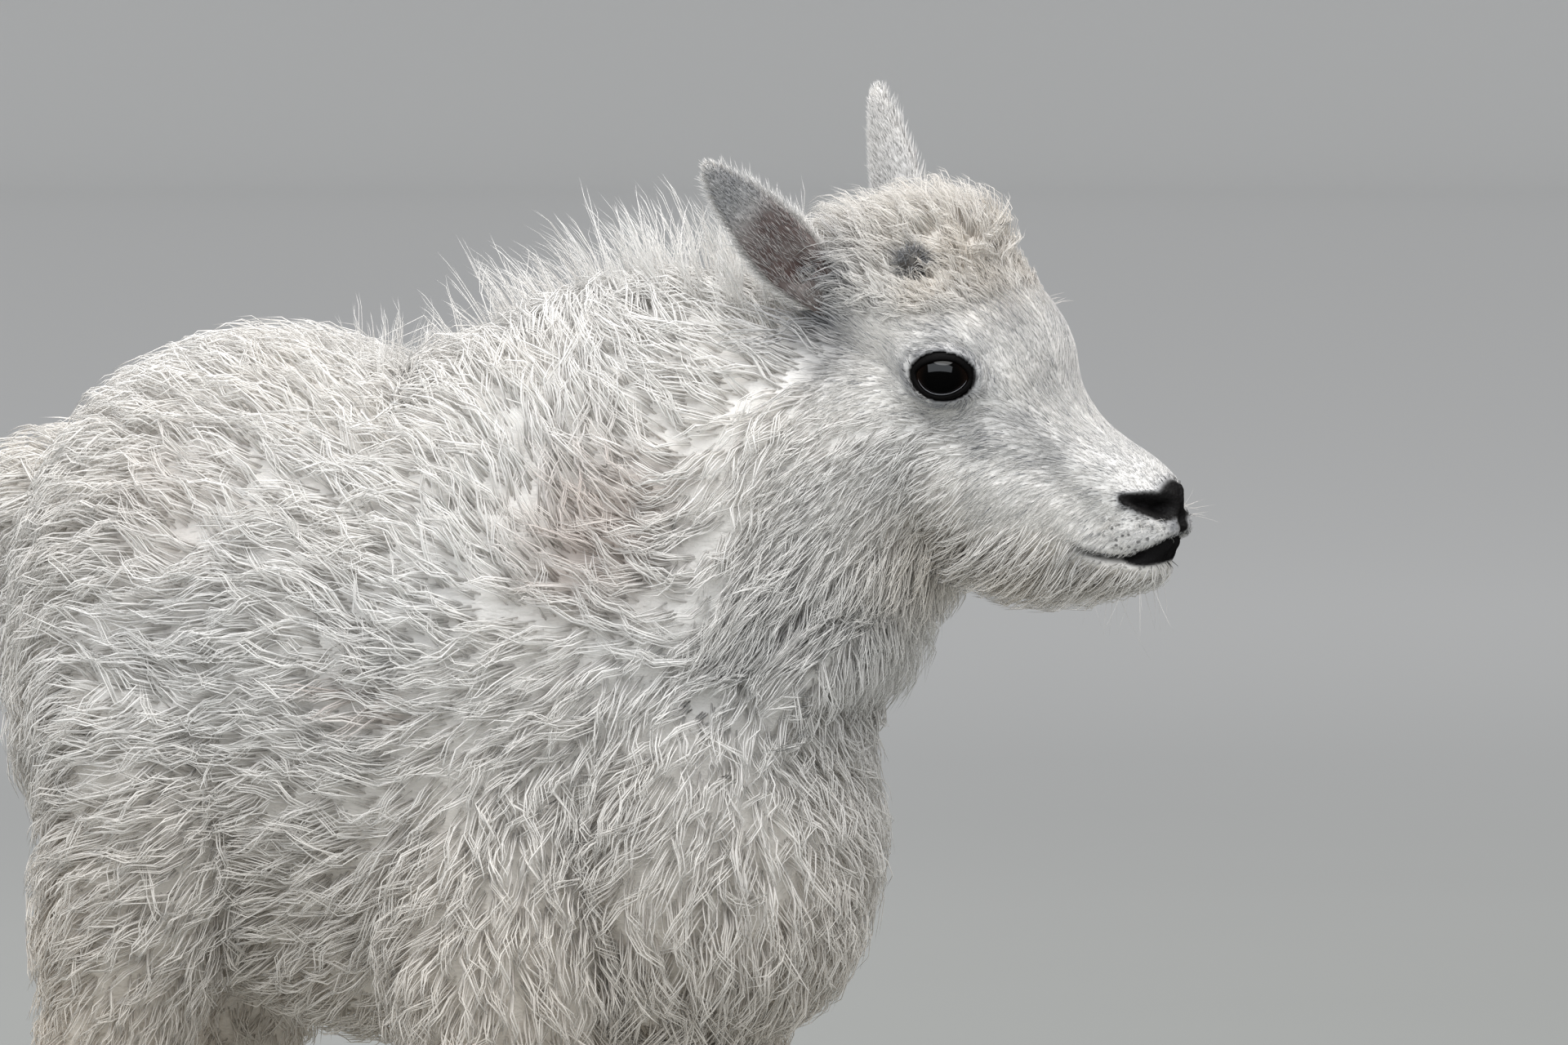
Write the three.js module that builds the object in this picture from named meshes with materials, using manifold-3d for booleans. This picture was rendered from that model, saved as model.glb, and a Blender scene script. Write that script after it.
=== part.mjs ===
// A mountain goat kid of about two months, life size, standing on level ground with its head
// held forward. Millimetres; +X runs forward, +Y to the animal's left, +Z up from the ground.
import * as THREE from "three";
import { mergeVertices } from "three/addons/utils/BufferGeometryUtils.js";
import Module from "manifold-3d";

const wasm = await Module();
wasm.setup();

// Driving dimensions
const EYE_MIDPOINT = new THREE.Vector3(226.9, 0, 450); // between the eyes, above the ground at z = 0
const HEAD_AXIS_DROP = 28; // degrees that the head's axis falls towards the nose
const HEAD_TURN = -5; // degrees that the head is turned to the left
const HEAD_TILT = 5; // degrees that its right side is lower
const COAT_DEPTH = 26; // from the flesh to the tips of the wool on the trunk
const CORE_SHARE = 0.46; // share of the coat's depth that the solid core fills
const CROWN_DEPTH = 14; // the same for the curly wool of the crown
const SHORT_HAIR = 3; // depth of the short coat on the face and the lower legs
const FACE_TO_FACE = 0.3; // gap between two pieces that touch
const EYE_RADIUS = 11.5;
const EYE_OUT = 33.4; // the eyeball's centre, out from the middle of the head
const EYE_BACK = 4; // and behind the line between the eyes
const EYE_FACES_FORWARD = 25; // degrees that each eye looks forward of straight out
const HOOF_HEIGHT = 20;
const KNEE_CUT = 126; // height of the cut between upper and lower foreleg
const HOCK_CUT = 152; // the same for the hind leg
const ELBOW_CUT = 236; // height of the cut between trunk and foreleg
const STIFLE_CUT = 246; // the same for the hind leg

const WOOL = material("wool", 0xe9e4da, 0.95);
const FACE = material("face", 0xe2e1e0, 0.85);
const EAR = material("ear", 0xa9a6a8, 0.85);
const EYE = material("eye", 0x0b0908, 0.08);
const HORN = material("horn", 0x4b4744, 0.6);
const SHANK = material("shank", 0xdedad2, 0.88);
const HOOF = material("hoof", 0x24211f, 0.5);

function material(name, color, roughness) {
  return new THREE.MeshStandardMaterial({ name, color, roughness, metalness: 0 });
}

function vec(x, y, z) {
  return new THREE.Vector3(x, y, z);
}

// A seeded draw, so that the coat is the same each time
function drawsFrom(seed) {
  let state = seed;
  return () => {
    state = (Math.imul(state, 1664525) + 1013904223) >>> 0;
    return state / 4294967296;
  };
}

// From three.js geometry to a solid and back; a surface wound inwards is turned outwards
function solidOf(geometry) {
  const bare = geometry.index ? geometry.toNonIndexed() : geometry.clone();
  const points = new THREE.BufferGeometry().setAttribute("position", bare.getAttribute("position"));
  const merged = mergeVertices(points, 1e-4);
  const vertProperties = new Float32Array(merged.attributes.position.array);
  const triVerts = new Uint32Array(merged.index.array);
  const made = new wasm.Manifold(new wasm.Mesh({ numProp: 3, vertProperties, triVerts }));
  if (made.volume() > 0) return made;
  return new wasm.Manifold(new wasm.Mesh({ numProp: 3, vertProperties, triVerts: triVerts.reverse() }));
}

function geometryOf(solid) {
  const mesh = solid.getMesh();
  const points = new Float32Array(mesh.numVert * 3);
  for (let i = 0; i < mesh.numVert; i++) {
    points.set(mesh.vertProperties.subarray(i * mesh.numProp, i * mesh.numProp + 3), i * 3);
  }
  return new THREE.BufferGeometry()
    .setAttribute("position", new THREE.BufferAttribute(points, 3))
    .setIndex(new THREE.BufferAttribute(new Uint32Array(mesh.triVerts), 1));
}

function join(solids) {
  return wasm.Manifold.union(solids);
}

function largest(solid) {
  const pieces = solid.decompose();
  return pieces.reduce((best, piece) => (piece.volume() > best.volume() ? piece : best));
}

// A closed skin over rings of points; each ring has the same number of points, and the far end
// may run out to a tip
function skinOver(rings, tip) {
  const sides = rings[0].length;
  const points = rings.flat();
  const faces = [];
  const middleOf = (ring) => ring.reduce((sum, p) => sum.add(p), vec(0, 0, 0)).divideScalar(sides);
  const start = points.push(middleOf(rings[0])) - 1;
  const end = points.push(tip ?? middleOf(rings[rings.length - 1])) - 1;
  const lastRing = (rings.length - 1) * sides;
  for (let k = 0; k < sides; k++) {
    const next = (k + 1) % sides;
    faces.push(start, next, k);
    faces.push(end, lastRing + k, lastRing + next);
    for (let r = 0; r < rings.length - 1; r++) {
      const a = r * sides + k;
      const b = r * sides + next;
      faces.push(a, b, b + sides, a, b + sides, a + sides);
    }
  }
  const geometry = new THREE.BufferGeometry().setFromPoints(points);
  geometry.setIndex(faces);
  return geometry;
}

// A limb, trunk or skull: stations give [centre, half width, reach above, reach below] along a
// spine that lies in an upright plane; "above" is square to the spine, on its upper or front side
function limb(stations, { sides = 16, steps = 2, square = 2, grow = 0, flatEnd = false } = {}) {
  const spine = new THREE.CatmullRomCurve3(stations.map((s) => s.centre), false, "catmullrom", 0.5);
  const spreads = stations.map((s) => vec(s.wide, s.above, s.below));
  const spread = new THREE.CatmullRomCurve3(spreads, false, "catmullrom", 0.5);
  const count = (stations.length - 1) * steps;
  const rings = [];
  for (let i = 0; i <= count; i++) {
    const t = i / count;
    const centre = spine.getPoint(t);
    const more = typeof grow === "function" ? grow(centre) : grow;
    const along = spine.getTangent(t);
    if (i === 0) centre.addScaledVector(along, -more);
    if (i === count && !flatEnd) centre.addScaledVector(along, more);
    const across = vec(0, 1, 0).addScaledVector(along, -along.y).normalize();
    const upward = vec(0, 0, 0).crossVectors(along, across);
    if (flatEnd && i === count) upward.set(Math.hypot(upward.x, upward.z), 0, 0);
    const size = spread.getPoint(t);
    rings.push(
      Array.from({ length: sides }, (_, k) => {
        const angle = (2 * Math.PI * k) / sides;
        const c = Math.cos(angle);
        const s = Math.sin(angle);
        const reach = (s > 0 ? size.y : size.z) + more;
        return centre
          .clone()
          .addScaledVector(across, Math.sign(c) * Math.abs(c) ** (2 / square) * (size.x + more))
          .addScaledVector(upward, Math.sign(s) * Math.abs(s) ** (2 / square) * reach);
      }),
    );
  }
  return skinOver(rings);
}

function station(centre, wide, above, below) {
  return { centre, wide, above, below };
}

function ellipsoid(centre, radii, turn = new THREE.Euler(), detail = [14, 9]) {
  const ball = new THREE.SphereGeometry(1, detail[0], detail[1]);
  const place = new THREE.Matrix4().compose(
    centre,
    new THREE.Quaternion().setFromEuler(turn),
    radii.isVector3 ? radii : vec(radii, radii, radii),
  );
  return ball.applyMatrix4(place);
}

// The body's flesh, as limbs
const TRUNK = [
  [-148, 350, 12, 10, 16],
  [-143, 350, 31, 46, 46],
  [-133, 349, 46, 62, 68],
  [-113, 348, 60, 75, 88],
  [-83, 347, 68, 87, 106],
  [-50, 346, 72, 87, 122],
  [-20, 345, 74, 80, 129],
  [8, 345, 74, 76, 131],
  [32, 345, 73, 86, 130],
  [65, 346, 68, 98, 122],
  [100, 347, 60, 102, 104],
  [128, 340, 48, 78, 80],
  [146, 326, 26, 34, 38],
].map(([x, z, wide, above, below]) => station(vec(x, 0, z), wide, above, below));

const BREAST = [
  [112, 352, 44, 42, 50],
  [109, 310, 52, 38, 60],
  [106, 275, 52, 46, 60],
  [97, 245, 44, 45, 50],
  [88, 226, 30, 28, 30],
].map(([x, z, wide, above, below]) => station(vec(x, 0, z), wide, above, below));

const NECK = [
  [40, 372, 58, 64, 78],
  [78, 382, 57, 70, 84],
  [112, 394, 51, 70, 80],
  [148, 407, 43, 62, 60],
  [182, 421, 37, 47, 44],
  [206, 431, 31, 38, 34],
].map(([x, z, wide, above, below]) => station(vec(x, 0, z), wide, above, below));

// Each leg: the side that it is on, and how far forward its top and its foot are set
const LEGS = [
  { name: "fore_right", fore: true, side: -1, top: 0, foot: 0 },
  { name: "fore_left", fore: true, side: 1, top: 22, foot: 44 },
  { name: "hind_right", fore: false, side: -1, top: 0, foot: 0 },
  { name: "hind_left", fore: false, side: 1, top: 4, foot: 14 },
];
const FORELEG = [
  [54, 300, 30, 40, 40],
  [52, 262, 29, 35, 35],
  [51, 228, 25, 28, 28],
  [50, 196, 20, 24, 23],
  [52, 158, 15.5, 18, 16.5],
  [54, 128, 13.5, 15, 13],
  [55, 112, 14, 15.5, 12.5],
  [54, 94, 11, 11.5, 11],
  [54, 68, 9, 9.5, 9.5],
  [55, 40, 11.5, 11, 13],
  [60, 28, 10.5, 11, 11],
  [64, HOOF_HEIGHT + FACE_TO_FACE, 13, 14, 12],
];
const HINDLEG = [
  [-82, 322, 36, 52, 42],
  [-88, 276, 33, 40, 32],
  [-100, 238, 25, 25, 23],
  [-108, 206, 18, 18, 17],
  [-120, 172, 14.5, 15, 15],
  [-133, 140, 13, 13, 15],
  [-136, 118, 11.5, 12, 12.5],
  [-132, 82, 9.5, 10, 10],
  [-128, 42, 12, 11.5, 13],
  [-123, 29, 10.5, 11, 11],
  [-119, HOOF_HEIGHT + FACE_TO_FACE, 13, 14, 12],
];
const LEG_OUT = { fore: 44, hind: 46 }; // feet, out from the middle

function legStations(leg) {
  const rows = leg.fore ? FORELEG : HINDLEG;
  const height = rows[0][1];
  return rows.map(([x, z, wide, above, below]) => {
    const forward = THREE.MathUtils.lerp(leg.foot, leg.top, z / height);
    return station(vec(x + forward, leg.side * legOut(leg), z), wide, above, below);
  });
}

function legOut(leg) {
  return leg.fore ? LEG_OUT.fore : LEG_OUT.hind;
}

// The wool is deep on the trunk and thins out down the legs, sooner on the hind ones
function coatDepth(point) {
  const deepFrom = point.x < -70 ? 310 : 250;
  const upLeg = THREE.MathUtils.smoothstep(point.z, 110, deepFrom);
  return SHORT_HAIR + (COAT_DEPTH - SHORT_HAIR) * upLeg;
}

// The head's own frame has its origin between the eyes; along the axis from nape to nose
const axisAngle = THREE.MathUtils.degToRad(HEAD_AXIS_DROP);
const HEAD_ALONG = vec(Math.cos(axisAngle), 0, -Math.sin(axisAngle));
const HEAD_UP = vec(Math.sin(axisAngle), 0, Math.cos(axisAngle));
const HEAD_BELOW_EYES = 8; // the axis passes this far under the eyes
const headPlace = new THREE.Matrix4()
  .makeTranslation(EYE_MIDPOINT)
  .multiply(new THREE.Matrix4().makeRotationZ(THREE.MathUtils.degToRad(HEAD_TURN)))
  .multiply(new THREE.Matrix4().makeRotationX(THREE.MathUtils.degToRad(HEAD_TILT)));

// A point of the head from its distance along the axis, out to the side and above the axis
function onHead(along, out, above) {
  return vec(0, out, -HEAD_BELOW_EYES).addScaledVector(HEAD_ALONG, along).addScaledVector(HEAD_UP, above);
}

const SKULL = [
  [-82, 8, 14, 8, 12],
  [-72, 10, 26, 15, 24],
  [-52, 12, 34, 21, 34],
  [-24, 12, 38, 27, 36],
  [0, 6, 36, 25, 35],
  [17, 0, 27, 14, 32],
  [33, -5, 22.5, 12, 28],
  [48, -8, 22, 13, 24],
  [61, -9, 20, 14, 19],
  [71, -9, 18, 12.5, 14.5],
  [77, -11, 14.5, 9, 9.5],
  [80, -12, 8, 4, 5],
].map(([along, above, wide, up, down]) => station(onHead(along, 0, above), wide, up, down));
const JAW = [
  [-34, -22, 22, 20, 20],
  [-16, -29, 30, 22, 25],
  [8, -29, 32, 20, 23],
  [34, -27, 27, 18, 20],
  [56, -26, 20, 14, 16],
  [71, -27, 15.5, 10, 11],
  [82, -27, 12.5, 7.5, 8],
  [88, -26, 7.5, 4.5, 5],
].map(([along, above, wide, up, down]) => station(onHead(along, 0, above), wide, up, down));

// The nose and the upper lip end in one upright front
const NOSE = { centre: vec(58, 0, -49), radii: vec(15.5, 13.5, 12) };
const LIP = { centre: vec(57, 0, -58.5), radii: vec(17, 19, 12) };

// The longer hair under the jaw deepens it, most of all at the throat end
const JAW_HAIR = 16;

function jawHairCore(share) {
  const rows = JAW.slice(0, 6).map((row, i) => {
    const deeper = JAW_HAIR * share * [0.7, 1, 1.1, 1.1, 0.8, 0.3][i];
    return station(row.centre, row.wide + 1, row.above, row.below + deeper);
  });
  return solidOf(limb(rows, { sides: 12, steps: 1, square: 2.2 }));
}

function headFlesh(grow = 0) {
  const alongHead = new THREE.Euler(0, axisAngle, 0);
  const parts = [
    limb(SKULL, { sides: 14, steps: 1, square: 2.2, grow }),
    limb(JAW, { sides: 10, steps: 1, square: 2.2, grow }),
    ellipsoid(NOSE.centre, NOSE.radii, new THREE.Euler(), [14, 8]),
    ellipsoid(LIP.centre, LIP.radii, new THREE.Euler(), [14, 8]),
  ];
  for (const side of [-1, 1]) {
    const brow = onHead(-10, side * 24, 12);
    const cheek = onHead(2, side * 21, -17);
    parts.push(ellipsoid(brow, vec(20, 13.5, 13).addScalar(grow), alongHead, [10, 6]));
    parts.push(ellipsoid(cheek, vec(38, 14, 24).addScalar(grow), alongHead, [12, 6]));
  }
  return join(parts.map(solidOf));
}

// The cap of curly wool between the ears
const CAP = { centre: vec(-27, 1, 36), radii: vec(36, 33, 30) };
const CAP_SHARE = 0.7; // share of its depth that its core fills

function capCore(share) {
  const shrink = CROWN_DEPTH * (1 - share);
  return solidOf(ellipsoid(CAP.centre, CAP.radii.clone().subScalar(shrink), new THREE.Euler(), [16, 10]));
}

// Eyes
function eyeCentre(side) {
  return vec(-EYE_BACK, side * EYE_OUT, 0);
}

function eyeball(side, grow = 0) {
  return solidOf(ellipsoid(eyeCentre(side), EYE_RADIUS + grow, new THREE.Euler(), [12, 8]));
}

// The lids are a low dome over the eyeball, opened by an almond-shaped cut
const LID_THICKNESS = 2.2;
const LID_OPENING = { long: 11.4, high: 8.2, dip: 7 }; // half sizes, and degrees the front corner dips

function lids(side) {
  return solidOf(ellipsoid(eyeCentre(side), EYE_RADIUS + LID_THICKNESS, new THREE.Euler(), [12, 8]));
}

function lidOpening(side) {
  const { long, high, dip } = LID_OPENING;
  const outline = new THREE.Shape();
  outline.moveTo(-long, 0);
  outline.quadraticCurveTo(-long * 0.3, high * 1.9, long * 0.75, high * 0.45);
  outline.quadraticCurveTo(long, high * 0.2, long, -high * 0.15);
  outline.quadraticCurveTo(long * 0.2, -high * 1.75, -long, 0);
  const reach = 20;
  const prism = new THREE.ExtrudeGeometry(outline, { depth: reach, bevelEnabled: false, curveSegments: 4 });
  prism.rotateX(Math.PI / 2);
  prism.rotateY(THREE.MathUtils.degToRad(dip));
  prism.translate(0, side > 0 ? EYE_RADIUS * 0.5 + reach : -EYE_RADIUS * 0.5, 0);
  prism.rotateZ(THREE.MathUtils.degToRad(-side * EYE_FACES_FORWARD));
  prism.translate(-EYE_BACK, side * EYE_OUT, 0);
  return solidOf(prism);
}

// Nostrils: a comma-shaped hollow on each side of the nose
function nostril(side) {
  const front = ellipsoid(vec(69, side * 8.5, -50), vec(7, 5.2, 4.6), new THREE.Euler(0, 0.3, -side * 0.5), [8, 6]);
  const tail = ellipsoid(vec(62, side * 15.5, -47), vec(6.5, 5, 2.6), new THREE.Euler(0, 0.4, -side * 0.3), [8, 6]);
  return join([front, tail].map(solidOf));
}

// The mouth: a curved slit round the muzzle, as deep as the lips are thick
const MOUTH_LINE = [
  [38, -61],
  [46, -65.5],
  [55, -69],
  [64, -70.5],
  [71, -68.5],
  [80, -62],
];
const MOUTH_OPEN = 1.8;
const MOUTH_CORE = [
  [20, -46, 20, 24, 24],
  [40, -56, 15, 18, 18],
  [58, -65, 10, 13, 13],
  [69, -67, 4, 6, 6],
].map(([x, z, wide, above, below]) => station(vec(x, 0, z), wide, above, below));

function mouthSlit() {
  const line = new THREE.CatmullRomCurve3(MOUTH_LINE.map(([x, z]) => vec(x, 0, z)));
  const rim = line.getPoints(6);
  const shape = new THREE.Shape();
  const upper = rim.map((p) => p.clone().setZ(p.z + MOUTH_OPEN / 2));
  const lower = rim.map((p) => p.clone().setZ(p.z - MOUTH_OPEN / 2)).reverse();
  [...upper, ...lower].forEach((p, i) => (i ? shape.lineTo(p.x, p.z) : shape.moveTo(p.x, p.z)));
  const width = 60;
  const sheet = new THREE.ExtrudeGeometry(shape, { depth: width, bevelEnabled: false });
  sheet.rotateX(Math.PI / 2);
  sheet.translate(0, width / 2, 0);
  return solidOf(sheet).subtract(solidOf(limb(MOUTH_CORE, { sides: 10, steps: 1 })));
}

// An ear: a pointed leaf, cupped, set on a round root
const EARS = {
  right: { root: onHead(-63, -31, 6), tip: vec(-82, -66, 80), faces: vec(0.35, -0.85, 0.2), halfWidth: 12 },
  left: { root: onHead(-52, 32, 10), tip: vec(-77, 59, 96), faces: vec(0.45, 0.85, -0.1), halfWidth: 14.5 },
};
const EAR_WALL = 2.6;
const EAR_ROOT_SUNK = 7;

// The ear's outer leaf and the hollow of its cup are the same form, one smaller and set forward
function earLeaf({ root, tip, faces, halfWidth }, grow, hollow) {
  const along = tip.clone().sub(root).normalize();
  const front = faces.clone().addScaledVector(along, -faces.dot(along)).normalize();
  const across = vec(0, 0, 0).crossVectors(along, front);
  const length = tip.distanceTo(root);
  const rings = [];
  const rows = [
    [-EAR_ROOT_SUNK, 0.52, 0.6],
    [2, 0.66, 0.72],
    [length * 0.2, 0.98, 0.72],
    [length * 0.42, 1, 0.56],
    [length * 0.64, 0.74, 0.4],
    [length * 0.84, 0.4, 0.26],
    [length * 0.97, 0.14, 0.12],
  ];
  for (const [up, widthShare, depthShare] of rows) {
    const half = Math.max(0.6, halfWidth * widthShare - (hollow ? EAR_WALL : 0) + grow);
    const deep = Math.max(0.6, halfWidth * depthShare - (hollow ? EAR_WALL : 0) + grow);
    const backward = halfWidth * 0.25 * widthShare;
    const centre = root
      .clone()
      .addScaledVector(along, hollow ? Math.max(up, 9) + up * 0.001 : up)
      .addScaledVector(front, -backward + (hollow ? halfWidth * 0.5 * widthShare : 0));
    rings.push(
      Array.from({ length: 12 }, (_, k) => {
        const angle = (2 * Math.PI * k) / 12;
        const bulge = Math.sin(angle) > 0 ? (hollow ? 1.4 : 0.35) : 1;
        return centre
          .clone()
          .addScaledVector(across, Math.cos(angle) * half)
          .addScaledVector(front, Math.sin(angle) * deep * bulge);
      }),
    );
  }
  return solidOf(skinOver(rings));
}

function ear(which) {
  return earLeaf(which, 0, false).subtract(earLeaf(which, 0, true));
}

// Horn buds: two bare nubs where the cap of wool meets the brow
const BUD_RADIUS = 5;
const BUD_HEIGHT = 9;

function hornBud(side, grow = 0) {
  const profile = [
    [0, -8 - grow],
    [BUD_RADIUS + grow, -8 - grow],
    [BUD_RADIUS + grow, BUD_HEIGHT * 0.45],
    [BUD_RADIUS * 0.72 + grow, BUD_HEIGHT * 0.8],
    [0, BUD_HEIGHT + grow],
  ];
  const bud = new THREE.LatheGeometry(profile.map(([r, y]) => new THREE.Vector2(r, y)), 10);
  bud.rotateX(Math.PI / 2);
  const out = vec(0.05, side * 0.72, 0.66).normalize();
  bud.applyQuaternion(new THREE.Quaternion().setFromUnitVectors(vec(0, 0, 1), out));
  bud.translate(-18.5, side * 24.5, 37);
  return solidOf(bud);
}

// The whole body as one core
function bodyCore() {
  const woolly = (point) => coatDepth(point) * CORE_SHARE;
  const parts = [
    limb(TRUNK, { sides: 16, steps: 1, grow: woolly }),
    limb(BREAST, { sides: 12, steps: 1, grow: woolly }),
    limb(NECK, { sides: 14, steps: 1, grow: COAT_DEPTH * CORE_SHARE * 0.8 }),
    ...LEGS.map((leg) => limb(legStations(leg), { sides: 10, steps: 1, grow: woolly, flatEnd: true })),
    tailLimb(),
  ];
  return join(parts.map(solidOf));
}

const TAIL = [
  [-140, 384, 14, 12, 12],
  [-158, 390, 14, 12, 12],
  [-172, 384, 15, 12, 12],
  [-181, 366, 15, 12, 12],
  [-183, 346, 11, 8, 8],
  [-183, 334, 2, 2, 2],
].map(([x, z, wide, above, below]) => station(vec(x, 0, z), wide, above, below));

function tailLimb() {
  return limb(TAIL, { sides: 10, steps: 1 });
}

// Locks of wool
// A lock is a flat keeled body: it rises from its root, which is sunk in the core, bends over
// along the lie of the coat at the coat's full depth and tapers to a tip
const LOCK_RINGS = [
  { along: 0, rise: 0, wide: 0.6 },
  { along: 0.27, rise: 0.95, wide: 1 },
  { along: 0.66, rise: 1, wide: 0.72 },
];
const TIP_RISE = 0.86; // the tip dips towards the lock behind it
const ROOT_SUNK = 7;

function lock({ root, out, lie, length, width, thickness, rise, sway, droop = 0 }) {
  const side = vec(0, 0, 0).crossVectors(out, lie).normalize();
  const spineAt = (along, share) =>
    root
      .clone()
      .addScaledVector(lie, length * along)
      .addScaledVector(side, Math.sin(Math.PI * 1.3 * Math.max(0, along)) * sway)
      .addScaledVector(out, -ROOT_SUNK + (rise + ROOT_SUNK) * share - droop * along ** 2);
  const rings = LOCK_RINGS.map((ring) => {
    const keel = spineAt(ring.along, ring.rise);
    const edge = keel.clone().addScaledVector(out, -thickness * 0.5 * ring.wide);
    return [
      edge.clone().addScaledVector(side, (width / 2) * ring.wide),
      keel,
      edge.clone().addScaledVector(side, (-width / 2) * ring.wide),
      keel.clone().addScaledVector(out, -thickness * ring.wide),
    ];
  });
  return solidOf(skinOver(rings, spineAt(1, TIP_RISE)));
}

// The way the coat lies, by where it grows
function lieOf(point) {
  const { x, z } = point;
  const forward = THREE.MathUtils.smoothstep(x, 60, 175);
  const low = 1 - THREE.MathUtils.smoothstep(z, 210, 440);
  const leg = 1 - THREE.MathUtils.smoothstep(z, 170, 240);
  const rump = 1 - THREE.MathUtils.smoothstep(x, -150, -70);
  const back = -0.95 + 0.62 * forward + 0.25 * low + 0.5 * leg + 0.25 * rump;
  const down = -0.25 - 0.75 * low - 0.55 * forward - 0.6 * leg - 0.6 * rump;
  return vec(back, 0, down);
}

// Points spread over a solid's surface, no closer than a spacing that may change over it
function scatter(solid, spacingAt, draw, tries) {
  const surface = geometryOf(solid).toNonIndexed().getAttribute("position");
  const corners = [0, 1, 2].map(() => vec(0, 0, 0));
  const faces = [];
  let area = 0;
  for (let i = 0; i < surface.count; i += 3) {
    corners.forEach((corner, k) => corner.fromBufferAttribute(surface, i + k));
    area += new THREE.Triangle(...corners).getArea();
    faces.push({ start: i, upTo: area });
  }
  const kept = [];
  for (let t = 0; t < tries; t++) {
    const mark = draw() * area;
    const face = faces.find((f) => f.upTo >= mark) ?? faces[faces.length - 1];
    corners.forEach((corner, k) => corner.fromBufferAttribute(surface, face.start + k));
    const [a, b] = [Math.sqrt(draw()), draw()];
    const point = vec(0, 0, 0)
      .addScaledVector(corners[0], 1 - a)
      .addScaledVector(corners[1], a * (1 - b))
      .addScaledVector(corners[2], a * b);
    const spacing = spacingAt(point);
    if (!spacing || kept.some((k) => k.point.distanceTo(point) < spacing)) continue;
    const out = new THREE.Triangle(...corners).getNormal(vec(0, 0, 0));
    kept.push({ point, out });
  }
  return kept;
}

const LOCK_SPACING = 43; // between roots where the wool is deepest
const LOCK_LENGTH = 2.5; // in coat depths
const LOCK_WIDTH = 2.1; // the same
const THINNEST_SPACING = 22; // between roots where the wool is thin
const NECK_WOOL = 17; // depth of the wool where the neck runs into the head
const SPARSE = 3; // wider spacing on the underside and between the legs
const LOWEST_LOCK = 150; // above the ground
const TAIL_WOOL = 12; // depth of the wool from this far back on
const TAIL_FROM = -166;
const draw = drawsFrom(5);

function about(size, spread) {
  return size * (1 - spread + 2 * spread * draw());
}

// The lie is laid flat on the surface; where the surface faces along it, the lock points down
function flatLie(lie, out) {
  const flat = lie.clone().addScaledVector(out, -lie.dot(out));
  return flat.length() < 0.15 ? vec(0, 0, -1) : flat.normalize();
}

function woolDepth(point) {
  if (point.x < TAIL_FROM) return TAIL_WOOL;
  const onNeck = point.z > 330 ? THREE.MathUtils.smoothstep(point.x, 90, 135) : 0;
  return THREE.MathUtils.lerp(coatDepth(point), NECK_WOOL, onNeck);
}

function aheadOfNeck(point) {
  return point.clone().sub(HEAD_CUT.at).dot(HEAD_CUT.towards);
}

// A lock droops to follow the body, more where the body turns tightly
function droopShare(point) {
  const tight = point.x > 95 || point.x < -120 || point.z < 260;
  return tight ? 0.2 : 0.08;
}

function woolLock({ point, out }) {
  const depth = woolDepth(point);
  return lock({
    root: point,
    out,
    lie: flatLie(lieOf(point), out).applyAxisAngle(out, (draw() - 0.5) * 0.5),
    length: about(depth * LOCK_LENGTH, 0.15),
    width: about(depth * LOCK_WIDTH, 0.15),
    thickness: depth * 0.5,
    rise: about(depth * (1 - CORE_SHARE), 0.18),
    sway: depth * 0.5 * (draw() - 0.5),
    droop: depth * LOCK_LENGTH * droopShare(point),
  });
}

function woolSpacing(point) {
  const ahead = aheadOfNeck(point);
  if (point.z < LOWEST_LOCK || ahead > 42) return 0;
  const hidden = point.z < 255 && Math.abs(point.y) < 50 && point.x < 96;
  const spacing = (LOCK_SPACING * woolDepth(point)) / COAT_DEPTH;
  return Math.max(THINNEST_SPACING, spacing) * (hidden ? SPARSE : 1);
}

function bodyLocks(core) {
  return scatter(core, woolSpacing, draw, 15000).map(woolLock);
}

// The crest of longer hair along the withers and the neck stands up and leans back
const CREST = { from: -18, to: 140, halfWidth: 14, spacing: 19, height: 2 };

function crestLocks(core) {
  const onCrest = (point) => {
    const inside = point.x > CREST.from && point.x < CREST.to && Math.abs(point.y) < CREST.halfWidth;
    return inside && point.z > 420 ? CREST.spacing : 0;
  };
  return scatter(core, onCrest, draw, 6000).map(({ point, out }) =>
    lock({
      root: point,
      out,
      lie: flatLie(vec(-1, 0, 0), out).applyAxisAngle(out, draw() - 0.5),
      length: about(40, 0.2),
      width: about(18, 0.2),
      thickness: 13,
      rise: COAT_DEPTH * (1 - CORE_SHARE) + about(CREST.height, 0.4),
      sway: 5 * (draw() - 0.5),
    }),
  );
}

// Curls of the cap, set close
const CURL = { radii: vec(15, 13, 8.5), spacing: 19 };

function curls() {
  const cap = capCore(CAP_SHARE);
  const onTop = (point) => (point.z > CAP.centre.z + 1 ? CURL.spacing : 0);
  return scatter(cap, onTop, draw, 1500).map(({ point, out }) => {
    const size = about(1, 0.18);
    const turn = new THREE.Euler().setFromQuaternion(
      new THREE.Quaternion().setFromUnitVectors(vec(0, 0, 1), out),
    );
    const centre = point.clone().addScaledVector(out, CROWN_DEPTH * (1 - CAP_SHARE) - CURL.radii.z * size);
    return solidOf(ellipsoid(centre, CURL.radii.clone().multiplyScalar(size), turn, [6, 4]));
  });
}

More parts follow.
